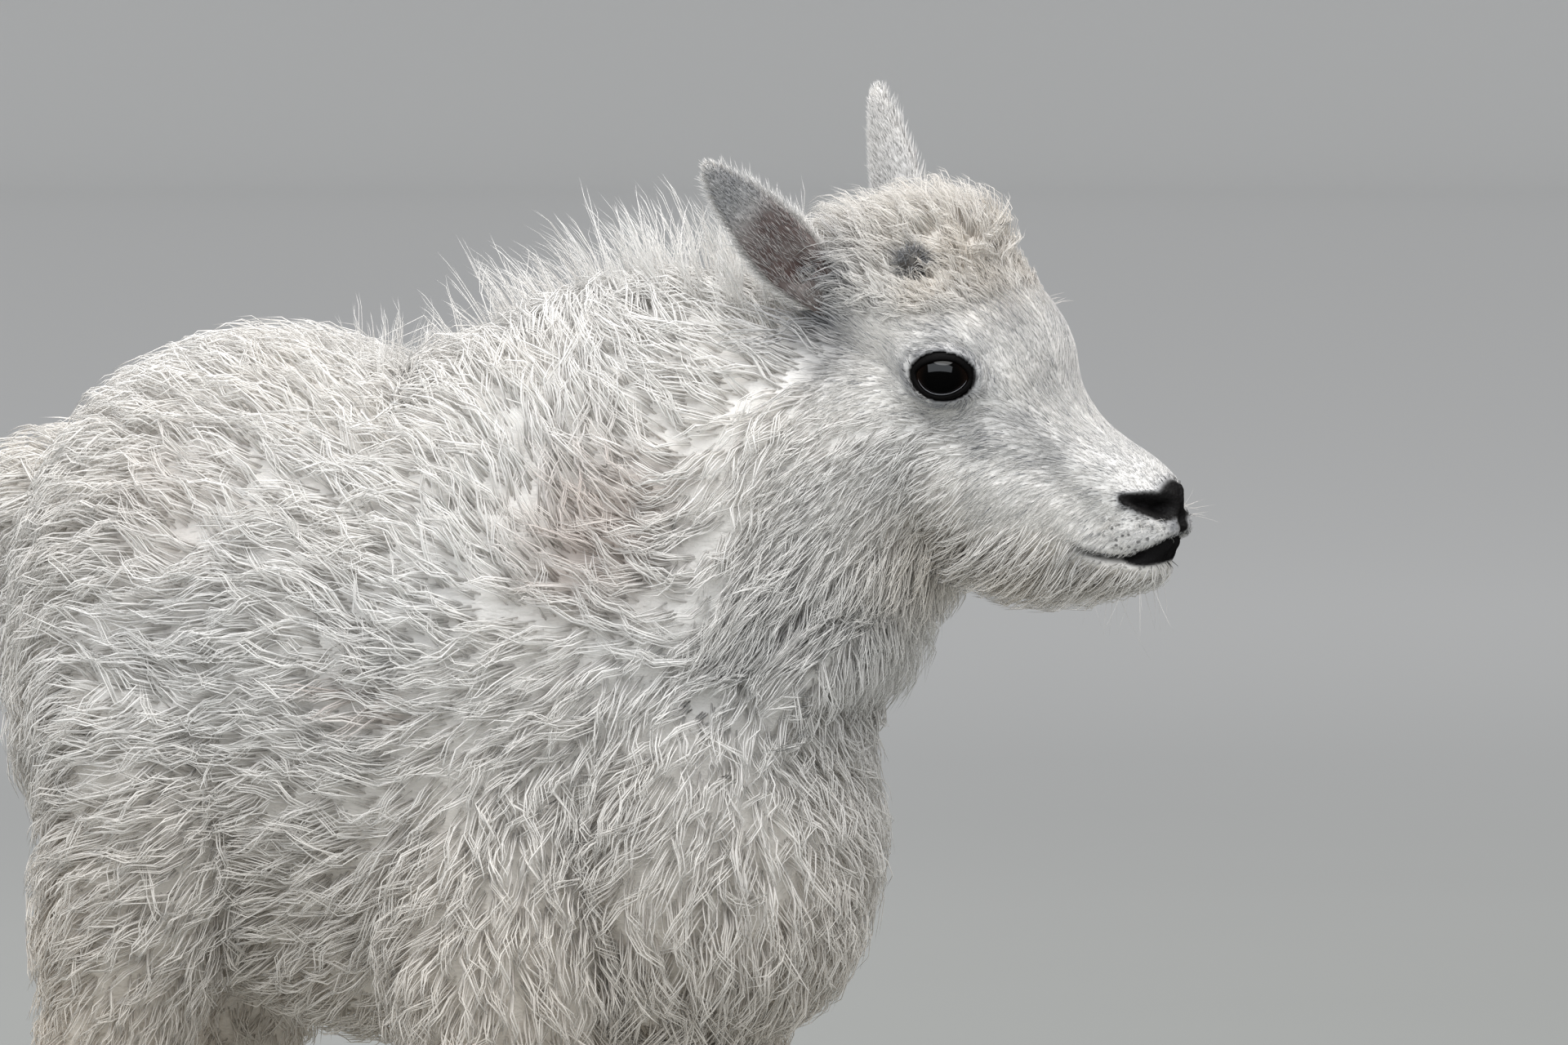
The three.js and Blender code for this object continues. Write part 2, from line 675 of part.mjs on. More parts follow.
// Longer hair under the jaw, swept back and down
function jawLocks() {
  const below = (point) => (point.z < -58 && point.x > -24 && point.x < 40 ? 15 : 0);
  const facingDown = ({ out }) => out.z < -0.15;
  return scatter(jawHairCore(CORE_SHARE), below, draw, 3000)
    .filter(facingDown)
    .map(({ point, out }) =>
      lock({
        root: point,
        out,
        lie: flatLie(vec(-0.85, 0, -0.5), out).applyAxisAngle(out, (draw() - 0.5) * 0.5),
        length: about(26, 0.2),
        width: about(17, 0.2),
        thickness: 8,
        rise: about(JAW_HAIR * (1 - CORE_SHARE), 0.2),
        sway: 3 * (draw() - 0.5),
      }),
    );
}

// Regions that part the body into its nodes
function beyond(point, direction, gap = 0) {
  const side = 900;
  const block = new THREE.BoxGeometry(side, side, side);
  block.translate(side / 2, 0, 0);
  block.applyQuaternion(new THREE.Quaternion().setFromUnitVectors(vec(1, 0, 0), direction.clone().normalize()));
  const at = point.clone().addScaledVector(direction.clone().normalize(), gap);
  block.translate(at.x, at.y, at.z);
  return solidOf(block);
}

function box(low, high, grow = 0) {
  const size = high.clone().sub(low).addScalar(2 * grow);
  const block = new THREE.BoxGeometry(size.x, size.y, size.z);
  const middle = low.clone().add(high).multiplyScalar(0.5);
  block.translate(middle.x, middle.y, middle.z);
  return solidOf(block);
}

const HEAD_CUT = { at: vec(141, 0, 490), towards: vec(0.93, 0, 0.36) };
const SHOULDER_CUT = { at: vec(112, 0, 388), towards: vec(0.9, 0, 0.44) };
const TAIL_CUT = { at: vec(-172, 0, 384), towards: vec(-1, 0, 0.1) };

function legCell(leg, grow = 0) {
  const middle = (leg.fore ? 52 : -108) + (leg.top + leg.foot) / 2;
  const top = leg.fore ? ELBOW_CUT : STIFLE_CUT;
  const low = vec(middle - (leg.fore ? 62 : 90), leg.side > 0 ? 12 : -140, -20);
  const high = vec(middle + (leg.fore ? 62 : 52), leg.side > 0 ? 140 : -12, top);
  return box(low, high, grow);
}

function tailCell(grow = 0) {
  const strip = box(vec(-230, -24, 310), vec(-150, 24, 430), grow);
  return strip.intersect(beyond(TAIL_CUT.at, TAIL_CUT.towards, -grow));
}

// A claw of the hoof: flat below, pointed at the toe, higher in front
function claw(leg, inner) {
  const foot = legStations(leg).at(-1).centre;
  const out = foot.y + leg.side * (inner ? -7.4 : 7.4);
  const rows = [
    [0, 7, 21, 13],
    [5, 6.9, 19.5, 13],
    [HOOF_HEIGHT, 6.3, 12.5, 11.5],
  ];
  const rings = rows.map(([z, wide, toe, heel]) =>
    Array.from({ length: 14 }, (_, k) => {
      const angle = (2 * Math.PI * k) / 14;
      const c = Math.cos(angle);
      const s = Math.sin(angle);
      const reach = s > 0 ? toe * Math.abs(s) ** 1.15 : -heel * Math.abs(s) ** 0.8;
      return vec(foot.x + reach, out + c * wide, z);
    }),
  );
  return solidOf(skinOver(rings.map((ring) => ring.slice().reverse())));
}

function mesh(name, solid, finish) {
  const made = new THREE.Mesh(geometryOf(solid), finish);
  made.name = name;
  return made;
}

// The model
const kid = new THREE.Group();
const core = bodyCore();
const whole = join([core, ...bodyLocks(core), ...crestLocks(core)]);
const headCell = beyond(HEAD_CUT.at, HEAD_CUT.towards);
const headCellGrown = beyond(HEAD_CUT.at, HEAD_CUT.towards, -FACE_TO_FACE);
const neckCell = beyond(SHOULDER_CUT.at, SHOULDER_CUT.towards).subtract(headCellGrown);
const neckCellGrown = beyond(SHOULDER_CUT.at, SHOULDER_CUT.towards, -FACE_TO_FACE);

const inPlace = (solid) => solid.transform(headPlace.elements);
const skull = headFlesh(SHORT_HAIR);
const hollows = join([
  ...[-1, 1].flatMap((side) => [eyeball(side, FACE_TO_FACE), lidOpening(side), nostril(side)]),
  ...[-1, 1].map((side) => hornBud(side, FACE_TO_FACE)),
  ...Object.values(EARS).map((which) => earLeaf(which, FACE_TO_FACE, false)),
  mouthSlit(),
]);
const headParts = [skull, capCore(CAP_SHARE), jawHairCore(CORE_SHARE), lids(-1), lids(1)];
const ownHead = inPlace(join([...headParts, ...curls(), ...jawLocks()]));
const headForm = join([ownHead, whole.intersect(headCell)]);
const headWhole = headForm.subtract(inPlace(hollows));
kid.add(mesh("head", largest(headWhole.intersect(headCell)), FACE));
for (const side of [-1, 1]) {
  const word = side < 0 ? "right" : "left";
  kid.add(mesh(`eye_${word}`, inPlace(eyeball(side)), EYE));
  kid.add(mesh(`horn_bud_${word}`, inPlace(hornBud(side)), HORN));
  kid.add(mesh(`ear_${word}`, largest(inPlace(ear(EARS[word]))), EAR));
}

const neckWhole = join([whole, inPlace(skull)]);
kid.add(mesh("neck", largest(neckWhole.intersect(neckCell)), WOOL));

const legCells = join(LEGS.map((leg) => legCell(leg, FACE_TO_FACE)));
const torso = whole.subtract(neckCellGrown).subtract(legCells).subtract(tailCell(FACE_TO_FACE));
kid.add(mesh("torso", largest(torso), WOOL));
kid.add(mesh("tail", largest(whole.intersect(tailCell())), WOOL));

for (const leg of LEGS) {
  const limbOnly = whole.intersect(legCell(leg)).subtract(neckCellGrown).subtract(tailCell(FACE_TO_FACE));
  const cut = leg.fore ? KNEE_CUT : HOCK_CUT;
  const upper = limbOnly.intersect(beyond(vec(0, 0, cut), vec(0, 0, 1)));
  const lower = limbOnly.subtract(beyond(vec(0, 0, cut), vec(0, 0, 1), -FACE_TO_FACE));
  kid.add(mesh(`upper_leg_${leg.name}`, largest(upper), WOOL));
  kid.add(mesh(`lower_leg_${leg.name}`, largest(lower), SHANK));
  kid.add(mesh(`claw_inner_${leg.name}`, claw(leg, true), HOOF));
  kid.add(mesh(`claw_outer_${leg.name}`, claw(leg, false), HOOF));
}

// The frame's origin is on the ground, under the middle of the whole
const bounds = new THREE.Box3().setFromObject(kid);
const middle = bounds.getCenter(vec(0, 0, 0));
kid.children.forEach((piece) => piece.geometry.translate(-middle.x, -middle.y, -bounds.min.z));

export default kid;
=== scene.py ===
"""A mountain goat kid of about two months, life size, standing with its head held forward.

Sizes in the tables are millimetres in the maker's frame: +X runs forward, +Y to the animal's
left, +Z up from the floor, and x = 0 lies under the middle of the back. place() turns them into
the scene's metres, by where the loaded eye is.
"""

import math
from contextlib import contextmanager

import bpy
import numpy as np
from bpy.props import FloatProperty, FloatVectorProperty, PointerProperty
from mathutils import Matrix, Vector
from mathutils.bvhtree import BVHTree


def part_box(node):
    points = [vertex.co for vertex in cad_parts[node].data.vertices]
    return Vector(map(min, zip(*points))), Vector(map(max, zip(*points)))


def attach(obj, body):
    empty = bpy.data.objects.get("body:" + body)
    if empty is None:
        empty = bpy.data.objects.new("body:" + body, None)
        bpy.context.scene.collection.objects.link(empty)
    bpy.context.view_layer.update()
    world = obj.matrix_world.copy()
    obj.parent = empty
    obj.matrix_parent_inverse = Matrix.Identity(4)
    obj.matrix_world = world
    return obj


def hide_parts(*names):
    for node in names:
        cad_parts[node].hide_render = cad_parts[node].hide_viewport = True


bl_info = {
    "name": "Mountain Goat Kid",
    "version": (1, 0, 0),
    "blender": (4, 5, 0),
    "location": "3D View > Sidebar > Goat Kid",
    "description": "A woolly mountain goat kid with its coat, eyes, ears and hoofs",
    "category": "Object",
}

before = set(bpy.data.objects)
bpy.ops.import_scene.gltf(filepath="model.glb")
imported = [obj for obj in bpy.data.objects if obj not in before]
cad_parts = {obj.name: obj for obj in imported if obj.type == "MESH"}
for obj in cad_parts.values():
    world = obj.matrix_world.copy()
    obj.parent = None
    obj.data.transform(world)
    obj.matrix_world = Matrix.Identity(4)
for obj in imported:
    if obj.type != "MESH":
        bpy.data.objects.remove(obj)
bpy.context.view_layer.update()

# The head's own frame: origin between the eyes, before the head's turn and tilt
EYE_MIDPOINT = (226.9, 0.0, 450.0)
HEAD_TURN = -5.0
HEAD_TILT = 5.0
HEAD_AXIS_DROP = 28.0
HEAD_BELOW_EYES = 8.0
EYE_BACK = 4.0
EYE_OUT = 33.4
EYE_FACES_FORWARD = 25.0

HEAD_PLACE = (
    Matrix.Translation(EYE_MIDPOINT)
    @ Matrix.Rotation(math.radians(HEAD_TURN), 4, "Z")
    @ Matrix.Rotation(math.radians(HEAD_TILT), 4, "X")
)
HEAD_AXES = np.array(HEAD_PLACE.to_3x3())
HEAD_DROP = math.radians(HEAD_AXIS_DROP)
HEAD_ALONG = np.array([math.cos(HEAD_DROP), 0, -math.sin(HEAD_DROP)])
HEAD_UP = np.array([math.sin(HEAD_DROP), 0, math.cos(HEAD_DROP)])


def loaded_shift():
    """How far the loaded model stands from the maker's frame, in mm."""
    low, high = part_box("eye_right")
    eye = HEAD_PLACE @ Vector((-EYE_BACK, -EYE_OUT, 0))
    return np.array((low + high) * 500.0) - np.array(eye)


SHIFT = loaded_shift()


def place(points):
    """Maker's millimetres to the scene's metres."""
    return (np.asarray(points, float) + SHIFT) / 1000.0


def unplace(points):
    """The scene's metres back to the maker's millimetres."""
    return np.asarray(points, float) * 1000.0 - SHIFT


def from_head(points):
    """Points of the head's frame to the maker's frame."""
    return np.asarray(points, float) @ HEAD_AXES.T + np.array(HEAD_PLACE.translation)


def to_head(points):
    """Points of the maker's frame to the head's frame."""
    return (np.asarray(points, float) - np.array(HEAD_PLACE.translation)) @ HEAD_AXES


def on_head(along, out, above):
    """A point of the head's frame from its place along, beside and above the skull's axis."""
    return np.array([0, out, -HEAD_BELOW_EYES]) + HEAD_ALONG * along + HEAD_UP * above


# Sizes and colours that a user may change
class KidSizes(bpy.types.PropertyGroup):
    coat_depth: FloatProperty(
        name="Coat depth", description="From the skin to the tips of the wool on the trunk",
        default=0.026, min=0.005, max=0.04, unit="LENGTH", subtype="DISTANCE")
    wool_length: FloatProperty(
        name="Wool length", description="Length of a strand of wool on the trunk",
        default=0.026, min=0.01, max=0.09, unit="LENGTH", subtype="DISTANCE")
    wool_width: FloatProperty(
        name="Wool width", description="Width of a strand of wool near its root",
        default=0.00066, min=0.0003, max=0.003, unit="LENGTH", subtype="DISTANCE")
    face_hair: FloatProperty(
        name="Face hair", description="Length of the short hair of the face",
        default=0.0085, min=0.002, max=0.02, unit="LENGTH", subtype="DISTANCE")
    eye_radius: FloatProperty(
        name="Eye radius", description="Radius of the eyeball",
        default=0.0122, min=0.008, max=0.016, unit="LENGTH", subtype="DISTANCE")


class KidColours(bpy.types.PropertyGroup):
    white: FloatVectorProperty(
        name="White", description="Wool and hair in full light", subtype="COLOR",
        default=(0.90, 0.88, 0.85), min=0, max=1)
    # Cream is the crown's, jaw's and legs' own colour, and partly painted shade on the belly and chest.
    cream: FloatVectorProperty(
        name="Cream", description="Crown, jaw and legs", subtype="COLOR",
        default=(0.83, 0.75, 0.65), min=0, max=1)
    # Grey is partly painted shade on the forehead, the bridge of the nose and round the eyes.
    grey: FloatVectorProperty(
        name="Grey", description="Temples, bridge of the nose and backs of the ears", subtype="COLOR",
        default=(0.20, 0.205, 0.225), min=0, max=1)
    black: FloatVectorProperty(
        name="Black", description="Nose, nostrils and the rims of the eyes", subtype="COLOR",
        default=(0.012, 0.011, 0.011), min=0, max=1)
    # The last paint is brown painted shade for the creases of the wool; the ears use it for the dark lower
    # part of their cups.
    earth: FloatVectorProperty(
        name="Earth", description="Stained wool in the creases behind the neck", subtype="COLOR",
        default=(0.42, 0.27, 0.20), min=0, max=1)


def sizes():
    return bpy.context.scene.kid_sizes


def colours():
    return bpy.context.scene.kid_colours


# The flesh under the coat: each row is x, z, half width, reach above and reach below
TRUNK = [
    (-148, 350, 12, 10, 16), (-143, 350, 31, 46, 46), (-133, 349, 46, 62, 68), (-113, 348, 60, 75, 88),
    (-83, 347, 68, 87, 106), (-50, 346, 72, 87, 122), (-20, 345, 74, 80, 129), (8, 345, 74, 76, 131),
    (32, 345, 73, 86, 130), (65, 346, 68, 98, 122), (100, 347, 60, 102, 104), (128, 340, 48, 78, 80),
    (146, 326, 26, 34, 38),
]
BREAST = [
    (112, 352, 44, 42, 50), (109, 310, 52, 38, 60), (106, 275, 52, 46, 60), (97, 245, 44, 45, 50),
    (88, 226, 30, 28, 30),
]
NECK = [
    (40, 372, 58, 64, 78), (78, 382, 57, 70, 84), (112, 394, 51, 70, 80), (148, 407, 43, 62, 60),
    (182, 421, 37, 47, 44), (206, 431, 31, 38, 34),
]
TAIL = [
    (-140, 384, 12, 10, 10), (-158, 388, 11, 9, 9), (-170, 382, 11, 8, 8), (-177, 366, 11, 8, 8),
    (-179, 346, 8, 5, 5), (-179, 338, 2, 2, 2),
]
FORELEG = [
    (54, 300, 30, 40, 40), (52, 262, 29, 35, 35), (51, 228, 25, 28, 28), (50, 196, 20, 24, 23),
    (52, 158, 15.5, 18, 16.5), (54, 128, 13.5, 15, 13), (55, 112, 14, 15.5, 12.5), (54, 94, 11, 11.5, 11),
    (54, 68, 9, 9.5, 9.5), (55, 40, 11.5, 11, 13), (60, 28, 10.5, 11, 11), (64, 18, 12.5, 13.5, 11.5),
]
HINDLEG = [
    (-82, 322, 36, 52, 42), (-88, 276, 33, 40, 32), (-100, 238, 25, 25, 23), (-108, 206, 18, 18, 17),
    (-120, 172, 14.5, 15, 15), (-133, 140, 13, 13, 15), (-136, 118, 11.5, 12, 12.5), (-132, 82, 9.5, 10, 10),
    (-128, 42, 12, 11.5, 13), (-123, 29, 10.5, 11, 11), (-119, 18, 12.5, 13.5, 11.5),
]
LEGS = {
    "fore_right": (FORELEG, -1, 44, 0, 0),
    "fore_left": (FORELEG, 1, 44, 22, 44),
    "hind_right": (HINDLEG, -1, 46, 0, 0),
    "hind_left": (HINDLEG, 1, 46, 4, 14),
}
SKULL = [
    (-82, 8, 14, 8, 12), (-72, 10, 26, 15, 24), (-52, 12, 34, 21, 34), (-24, 12, 38, 27, 36),
    (0, 6, 36, 25, 35), (17, 0, 28, 15, 32), (33, -5, 23, 12.5, 28), (48, -8, 22, 13, 24),
    (61, -9, 20, 14, 19), (71, -9, 18, 12.5, 14.5), (77, -11, 14.5, 9, 9.5), (80, -12, 8, 4, 5),
]
JAW = [
    (-34, -22, 22, 20, 20), (-16, -29, 30, 22, 25), (8, -29, 32, 20, 23), (34, -27, 27, 18, 20),
    (56, -26, 20, 14, 16), (71, -27, 15.5, 10, 11), (82, -27, 12.5, 7.5, 8), (88, -26, 7.5, 4.5, 5),
]
JAW_PAD = [3, 5, 7.5, 7.5, 5, 2.5, 0.5, 0]  # dense hair under the jaw, row by row
CAP_CENTRE = np.array([-27.0, 1.0, 36.0])
CAP_RADII = np.array([36.0, 33.0, 30.0])
CROWN_DEPTH = 14.0
FLESH = ["head", "neck", "torso", "tail"] + [
    f"{half}_leg_{leg}" for half in ("upper", "lower") for leg in LEGS]


def smoothstep(value, low, high):
    t = np.clip((np.asarray(value, float) - low) / (high - low), 0, 1)
    return t * t * (3 - 2 * t)


def bell(value, middle, width):
    """1 at the middle, fading to nothing a few widths away."""
    return np.exp(-(((value - middle) / width) ** 2))


def unit(vectors):
    length = np.linalg.norm(vectors, axis=-1, keepdims=True)
    return vectors / np.maximum(length, 1e-9)


def curve_through(rows, steps):
    """Positions and tangents along a smooth curve through the rows."""
    rows = np.asarray(rows, float)
    ends = np.vstack([2 * rows[0] - rows[1], rows, 2 * rows[-1] - rows[-2]])
    places, tangents = [], []
    for i in range(len(rows) - 1):
        p0, p1, p2, p3 = ends[i:i + 4]
        last = 1 if i == len(rows) - 2 else 0
        for k in range(steps + last):
            t = k / steps
            m1, m2 = (p2 - p0) / 2, (p3 - p1) / 2
            c2 = -3 * p1 + 3 * p2 - 2 * m1 - m2
            c3 = 2 * p1 - 2 * p2 + m1 + m2
            places.append(p1 + m1 * t + c2 * t * t + c3 * t ** 3)
            tangents.append(m1 + 2 * c2 * t + 3 * c3 * t * t)
    return np.array(places), unit(np.array(tangents))


def loft(centres, spans, sides=32, steps=4, square=2.0, grown=None, flat_end=False):
    """A closed limb: centres (n, 3) and [half width, above, below] at each, grown by so much."""
    places, tangents = curve_through(centres, steps)
    spread, _ = curve_through(spans, steps)
    grown = np.zeros(len(centres)) if grown is None else grown
    extra, _ = curve_through(np.reshape(grown, (-1, 1)), steps)
    angles = np.arange(sides) * 2 * math.pi / sides
    c, s = np.cos(angles), np.sin(angles)
    wide = np.sign(c) * np.abs(c) ** (2 / square)
    tall = np.sign(s) * np.abs(s) ** (2 / square)
    rings = []
    extra = np.maximum(extra[:, 0], 0)
    for i, (centre, along, size, grow) in enumerate(zip(places, tangents, spread, extra)):
        if i == 0:
            centre = centre - along * grow
        if i == len(places) - 1 and not flat_end:
            centre = centre + along * grow
        across = unit(np.array([0, 1.0, 0]) - along * along[1])
        upward = np.cross(along, across)
        if flat_end and i == len(places) - 1:
            upward = np.array([np.hypot(upward[0], upward[2]), 0, 0])
        reach = np.where(s > 0, size[1], size[2]) + grow
        rings.append(centre + np.outer(wide * (size[0] + grow), across) + np.outer(tall * reach, upward))
    points = np.vstack(rings + [rings[0].mean(0), rings[-1].mean(0)])
    start, end = len(points) - 2, len(points) - 1
    last = (len(rings) - 1) * sides
    faces = []
    for k in range(sides):
        n = (k + 1) % sides
        faces.append((start, n, k))
        faces.append((end, last + k, last + n))
        for r in range(len(rings) - 1):
            a, b = r * sides + k, r * sides + n
            faces.append((a, b, b + sides, a + sides))
    return points, faces


def body_loft(rows, **options):
    """A loft of the trunk or neck, grown by the undercoat and less so towards the head."""
    centres = np.array([(x, 0, z) for x, z, *_ in rows], float)
    sunk = undercoat(centres) * (1 - 0.55 * smoothstep(centres[:, 0], 148, 200))
    return loft(centres, [row[2:] for row in rows], grown=sunk, **options)


def leg_loft(leg, **options):
    """A leg, from its foot on the floor to its root, which stays sunk in the trunk."""
    rows, side, out, top, foot = LEGS[leg]
    height = rows[0][1]
    centres = np.array([(x + foot + (top - foot) * z / height, side * out, z) for x, z, *_ in rows])
    sunk = undercoat(centres) * (1 - 0.62 * smoothstep(centres[:, 2], 215, 300))
    return loft(centres, [row[2:] for row in rows], grown=sunk, flat_end=True, **options)


def head_loft(rows, **options):
    """A loft along the skull's axis."""
    centres = [on_head(along, 0, above) for along, above, *_ in rows]
    points, faces = loft(centres, [row[2:] for row in rows], square=2.2, **options)
    return from_head(points), faces


def ball(centre, radii, tilt=0.0, rings=18, sides=28):
    """An ellipsoid of the head, its long axis tilted nose down by tilt degrees."""
    points, faces = [], []
    for i in range(1, rings):
        a = math.pi * i / rings
        for k in range(sides):
            b = 2 * math.pi * k / sides
            points.append((math.sin(a) * math.cos(b), math.sin(a) * math.sin(b), math.cos(a)))
    points += [(0, 0, 1), (0, 0, -1)]
    top, bottom = len(points) - 2, len(points) - 1
    for k in range(sides):
        n = (k + 1) % sides
        faces.append((top, k, n))
        faces.append((bottom, (rings - 2) * sides + n, (rings - 2) * sides + k))
        for r in range(rings - 2):
            a, b = r * sides + k, r * sides + n
            faces.append((a, a + sides, b + sides, b))
    points = np.array(points) * np.asarray(radii, float)
    turn = np.array(Matrix.Rotation(math.radians(tilt), 3, "Y"))
    return from_head(points @ turn.T + np.asarray(centre, float)), faces


def mesh_of(name, points, faces):
    """An object whose mesh holds these points, in metres, and faces."""
    mesh = bpy.data.meshes.new(name)
    mesh.from_pydata([tuple(p) for p in points], [], faces)
    mesh.validate()
    piece = bpy.data.objects.new(name, mesh)
    bpy.context.scene.collection.objects.link(piece)
    return piece


def choose(piece):
    """Makes one object the active and only selected one."""
    for other in bpy.context.selected_objects:
        other.select_set(False)
    piece.select_set(True)
    bpy.context.view_layer.objects.active = piece


@contextmanager
def editing(piece):
    """Edit mode with all of the piece selected."""
    choose(piece)
    bpy.ops.object.mode_set(mode="EDIT")
    bpy.ops.mesh.select_all(action="SELECT")
    yield
    bpy.ops.object.mode_set(mode="OBJECT")


def apply_modifier(piece, kind, **values):
    modifier = piece.modifiers.new(kind.title(), kind)
    for key, value in values.items():
        setattr(modifier, key, value)
    choose(piece)
    bpy.ops.object.modifier_apply(modifier=modifier.name)


def points_of(mesh):
    flat = np.empty(len(mesh.vertices) * 3, np.float32)
    mesh.vertices.foreach_get("co", flat)
    return flat.reshape(-1, 3).astype(float)


def normals_of(mesh):
    flat = np.empty(len(mesh.vertices) * 3, np.float32)
    mesh.vertex_normals.foreach_get("vector", flat)
    return flat.reshape(-1, 3).astype(float)


def set_points(mesh, points):
    mesh.vertices.foreach_set("co", np.asarray(points, np.float32).ravel())
    mesh.update()


def triangles_of(mesh):
    mesh.calc_loop_triangles()
    flat = np.empty(len(mesh.loop_triangles) * 3, np.int32)
    mesh.loop_triangles.foreach_get("vertices", flat)
    return flat.reshape(-1, 3)


# The eye: an almond opening seen along the eye's own axis
EYE_OPENING = (9.5, 6.7)  # half length and half height of what shows of the eyeball
EYE_RIM = 2.0  # width of the bare black rim
EYE_DIP = 7.0  # degrees that the front corner dips


def eye_axes(side):
    """The eyeball's centre and its forward, upward and outward axes, in the head's frame."""
    turn = math.radians(-side * EYE_FACES_FORWARD)
    forward = np.array([math.cos(turn), math.sin(turn), 0])
    outward = np.array([-math.sin(turn) * side, math.cos(turn) * side, 0])
    up = np.array([0, 0, 1.0])
    dip = math.radians(EYE_DIP)
    along = forward * math.cos(dip) - up * math.sin(dip)
    above = forward * math.sin(dip) + up * math.cos(dip)
    centre = np.array([-EYE_BACK, side * EYE_OUT, 0]) - outward * 0.7
    return centre, along, above, outward


def almond(angle, long, high):
    """A point of the lids' edge: pointed a little at both corners, fullest above and behind."""
    c, s = math.cos(angle), math.sin(angle)
    u = long * c
    fullness = 1 + 0.09 * c if s > 0 else 1 - 0.09 * c
    v = high * s * fullness * (1 - 0.16 * abs(c) ** 3)
    return u, v


def lid_reach(u, v):
    """1 on the outer edge of the bare rim, less inside it."""
    return np.sqrt((u / (EYE_OPENING[0] + EYE_RIM)) ** 2 + (v / (EYE_OPENING[1] + EYE_RIM)) ** 2)


def seen_along_eye(points, side):
    """Head-frame points as forward, upward and outward distances from the eyeball's centre."""
    centre, along, above, outward = eye_axes(side)
    away = points - centre
    return away @ along, away @ above, away @ outward


# The nostril: balls along a comma from its tail, high on the side, to its head in front
NOSTRIL = [(61.2, 18.8, -46.2, 1.8), (65.2, 16.7, -47.2, 2.9), (68.7, 13.7, -48.5, 3.9),
           (71.3, 10.3, -49.7, 4.4), (72.8, 7.3, -50.4, 4.0)]
NOSE_PAD = [(59.6, 19.0, -46.2, 2.6), (65, 17, -47.6, 4.2), (69.4, 13.6, -48.8, 5.0), (72.6, 9, -49.4, 6.0),
            (74.5, 4, -48.0, 8.0), (75, 0, -47.6, 9.0)]
PHILTRUM = [(73.8, 0, -55, 4.4), (74, 0, -59, 3.2), (73, 0, -63, 2.6), (70.8, 0, -66.8, 2.4)]
BUD = (-18.5, 24.5, 37.0)  # horn bud, head frame
MOUTH_LINE = [(36, -61), (42, -65), (50, -68), (58, -68.4), (63, -67), (69, -64.4), (72, -62.6), (80, -59)]
MUZZLE_CORE = np.array([50.0, 0, -53.0])  # the middle of the muzzle, which the nostrils run towards
NOSTRIL_DEPTH, NOSTRIL_RIM = 7.5, 0.9
MOUTH_DEPTH, UPPER_LIP, LOWER_LIP, CLEFT_DEPTH = 3.4, 1.0, 0.8, 2.6
LID_DOME, EYE_BED = 13.4, 9.2  # radii of the lids' dome and of the bed behind the eyeball
LID_CREASE, LID_ROLL = (0.9, 0.45), 0.7  # the crease is deeper above the eye than below it


def comma_reach(points, side, rows=NOSTRIL):
    """Distance from the comma's middle line, in shares of its half width there."""
    curve, _ = curve_through(rows, 4)
    best = np.full(len(points), 9.0)
    for x, y, z, radius in curve:
        away = points - np.array([x, side * y, z])
        best = np.minimum(best, np.linalg.norm(away, axis=1) / radius)
    return best


def nostril_black(head, side):
    """1 in a nostril, over its rim and down its walls."""
    inward = unit(MUZZLE_CORE - head)
    reach = np.min([comma_reach(head - inward * deep, side) for deep in (0.0, 3.5, 7.0)], axis=0)
    return 1 - smoothstep(reach, 1.15, 1.5)


def mouth_reach(points):
    """Height above the mouth's line, and a share that fades out behind its corner."""
    curve, _ = curve_through(MOUTH_LINE, 6)
    order = np.argsort(curve[:, 0])
    height = points[:, 2] - np.interp(points[:, 0], curve[order, 0], curve[order, 1])
    return height, smoothstep(points[:, 0], 36, 46)


def sculpt_head(head, outward):
    """Moves head-frame points: eye openings, lids, nostrils, mouth, lips and folds."""
    moved = head.copy()
    for side in (-1, 1):
        out = eye_axes(side)[3]
        u, v, w = seen_along_eye(moved, side)
        reach = lid_reach(u, v)
        near = (reach < 2.6) & (w > -9)
        dome = np.sqrt(np.maximum(LID_DOME ** 2 - u ** 2 - v ** 2, 30.0))
        spread = np.where(v > 0, 2.3, 2.0)
        blend = 1 - smoothstep((reach - 1) / (spread - 1), 0, 1)
        target = np.maximum(w, w + (dome - w) * blend)
        crease = bell(reach, 1.42, 0.09) * np.where(v > 0, *LID_CREASE)
        lid_roll = bell(reach, 1.16, 0.13) * LID_ROLL
        outside = near & (reach >= 0.97)
        inside = near & (reach < 0.97)
        new_w = np.where(outside, target - crease + lid_roll, w)
        sunk = np.sqrt(np.maximum(EYE_BED ** 2 - u ** 2 - v ** 2, 1.0))
        new_w = np.where(inside, np.minimum(sunk, dome - 3.5), new_w)
        moved += (np.where(near, new_w - w, 0) * smoothstep(w, -9, -1))[:, None] * out
        comma = comma_reach(moved, side)
        inward = unit(MUZZLE_CORE - moved)
        pit = np.clip(1.05 - comma, 0, 1)
        moved += inward * (smoothstep(pit, 0, 0.75) * NOSTRIL_DEPTH)[:, None]
        rim = bell(comma, 1.45, 0.28) * NOSTRIL_RIM * (moved[:, 1] * side > -1)
        moved += outward * rim[:, None]
    height, fade = mouth_reach(moved)
    in_front = fade * (moved[:, 0] < 90)
    groove = bell(height, 0, 1.15) * MOUTH_DEPTH
    upper = bell(height, 3.6, 2.4) * UPPER_LIP
    lower = bell(height, -3.2, 2.2) * LOWER_LIP
    moved += outward * ((upper + lower - groove) * in_front)[:, None]
    cleft = bell(moved[:, 1], 0, 1.5) * smoothstep(moved[:, 0], 64, 69)
    cleft *= smoothstep(moved[:, 2], -71, -67) * (1 - smoothstep(moved[:, 2], -56, -52))
    moved -= outward * (cleft * CLEFT_DEPTH)[:, None]
    return moved
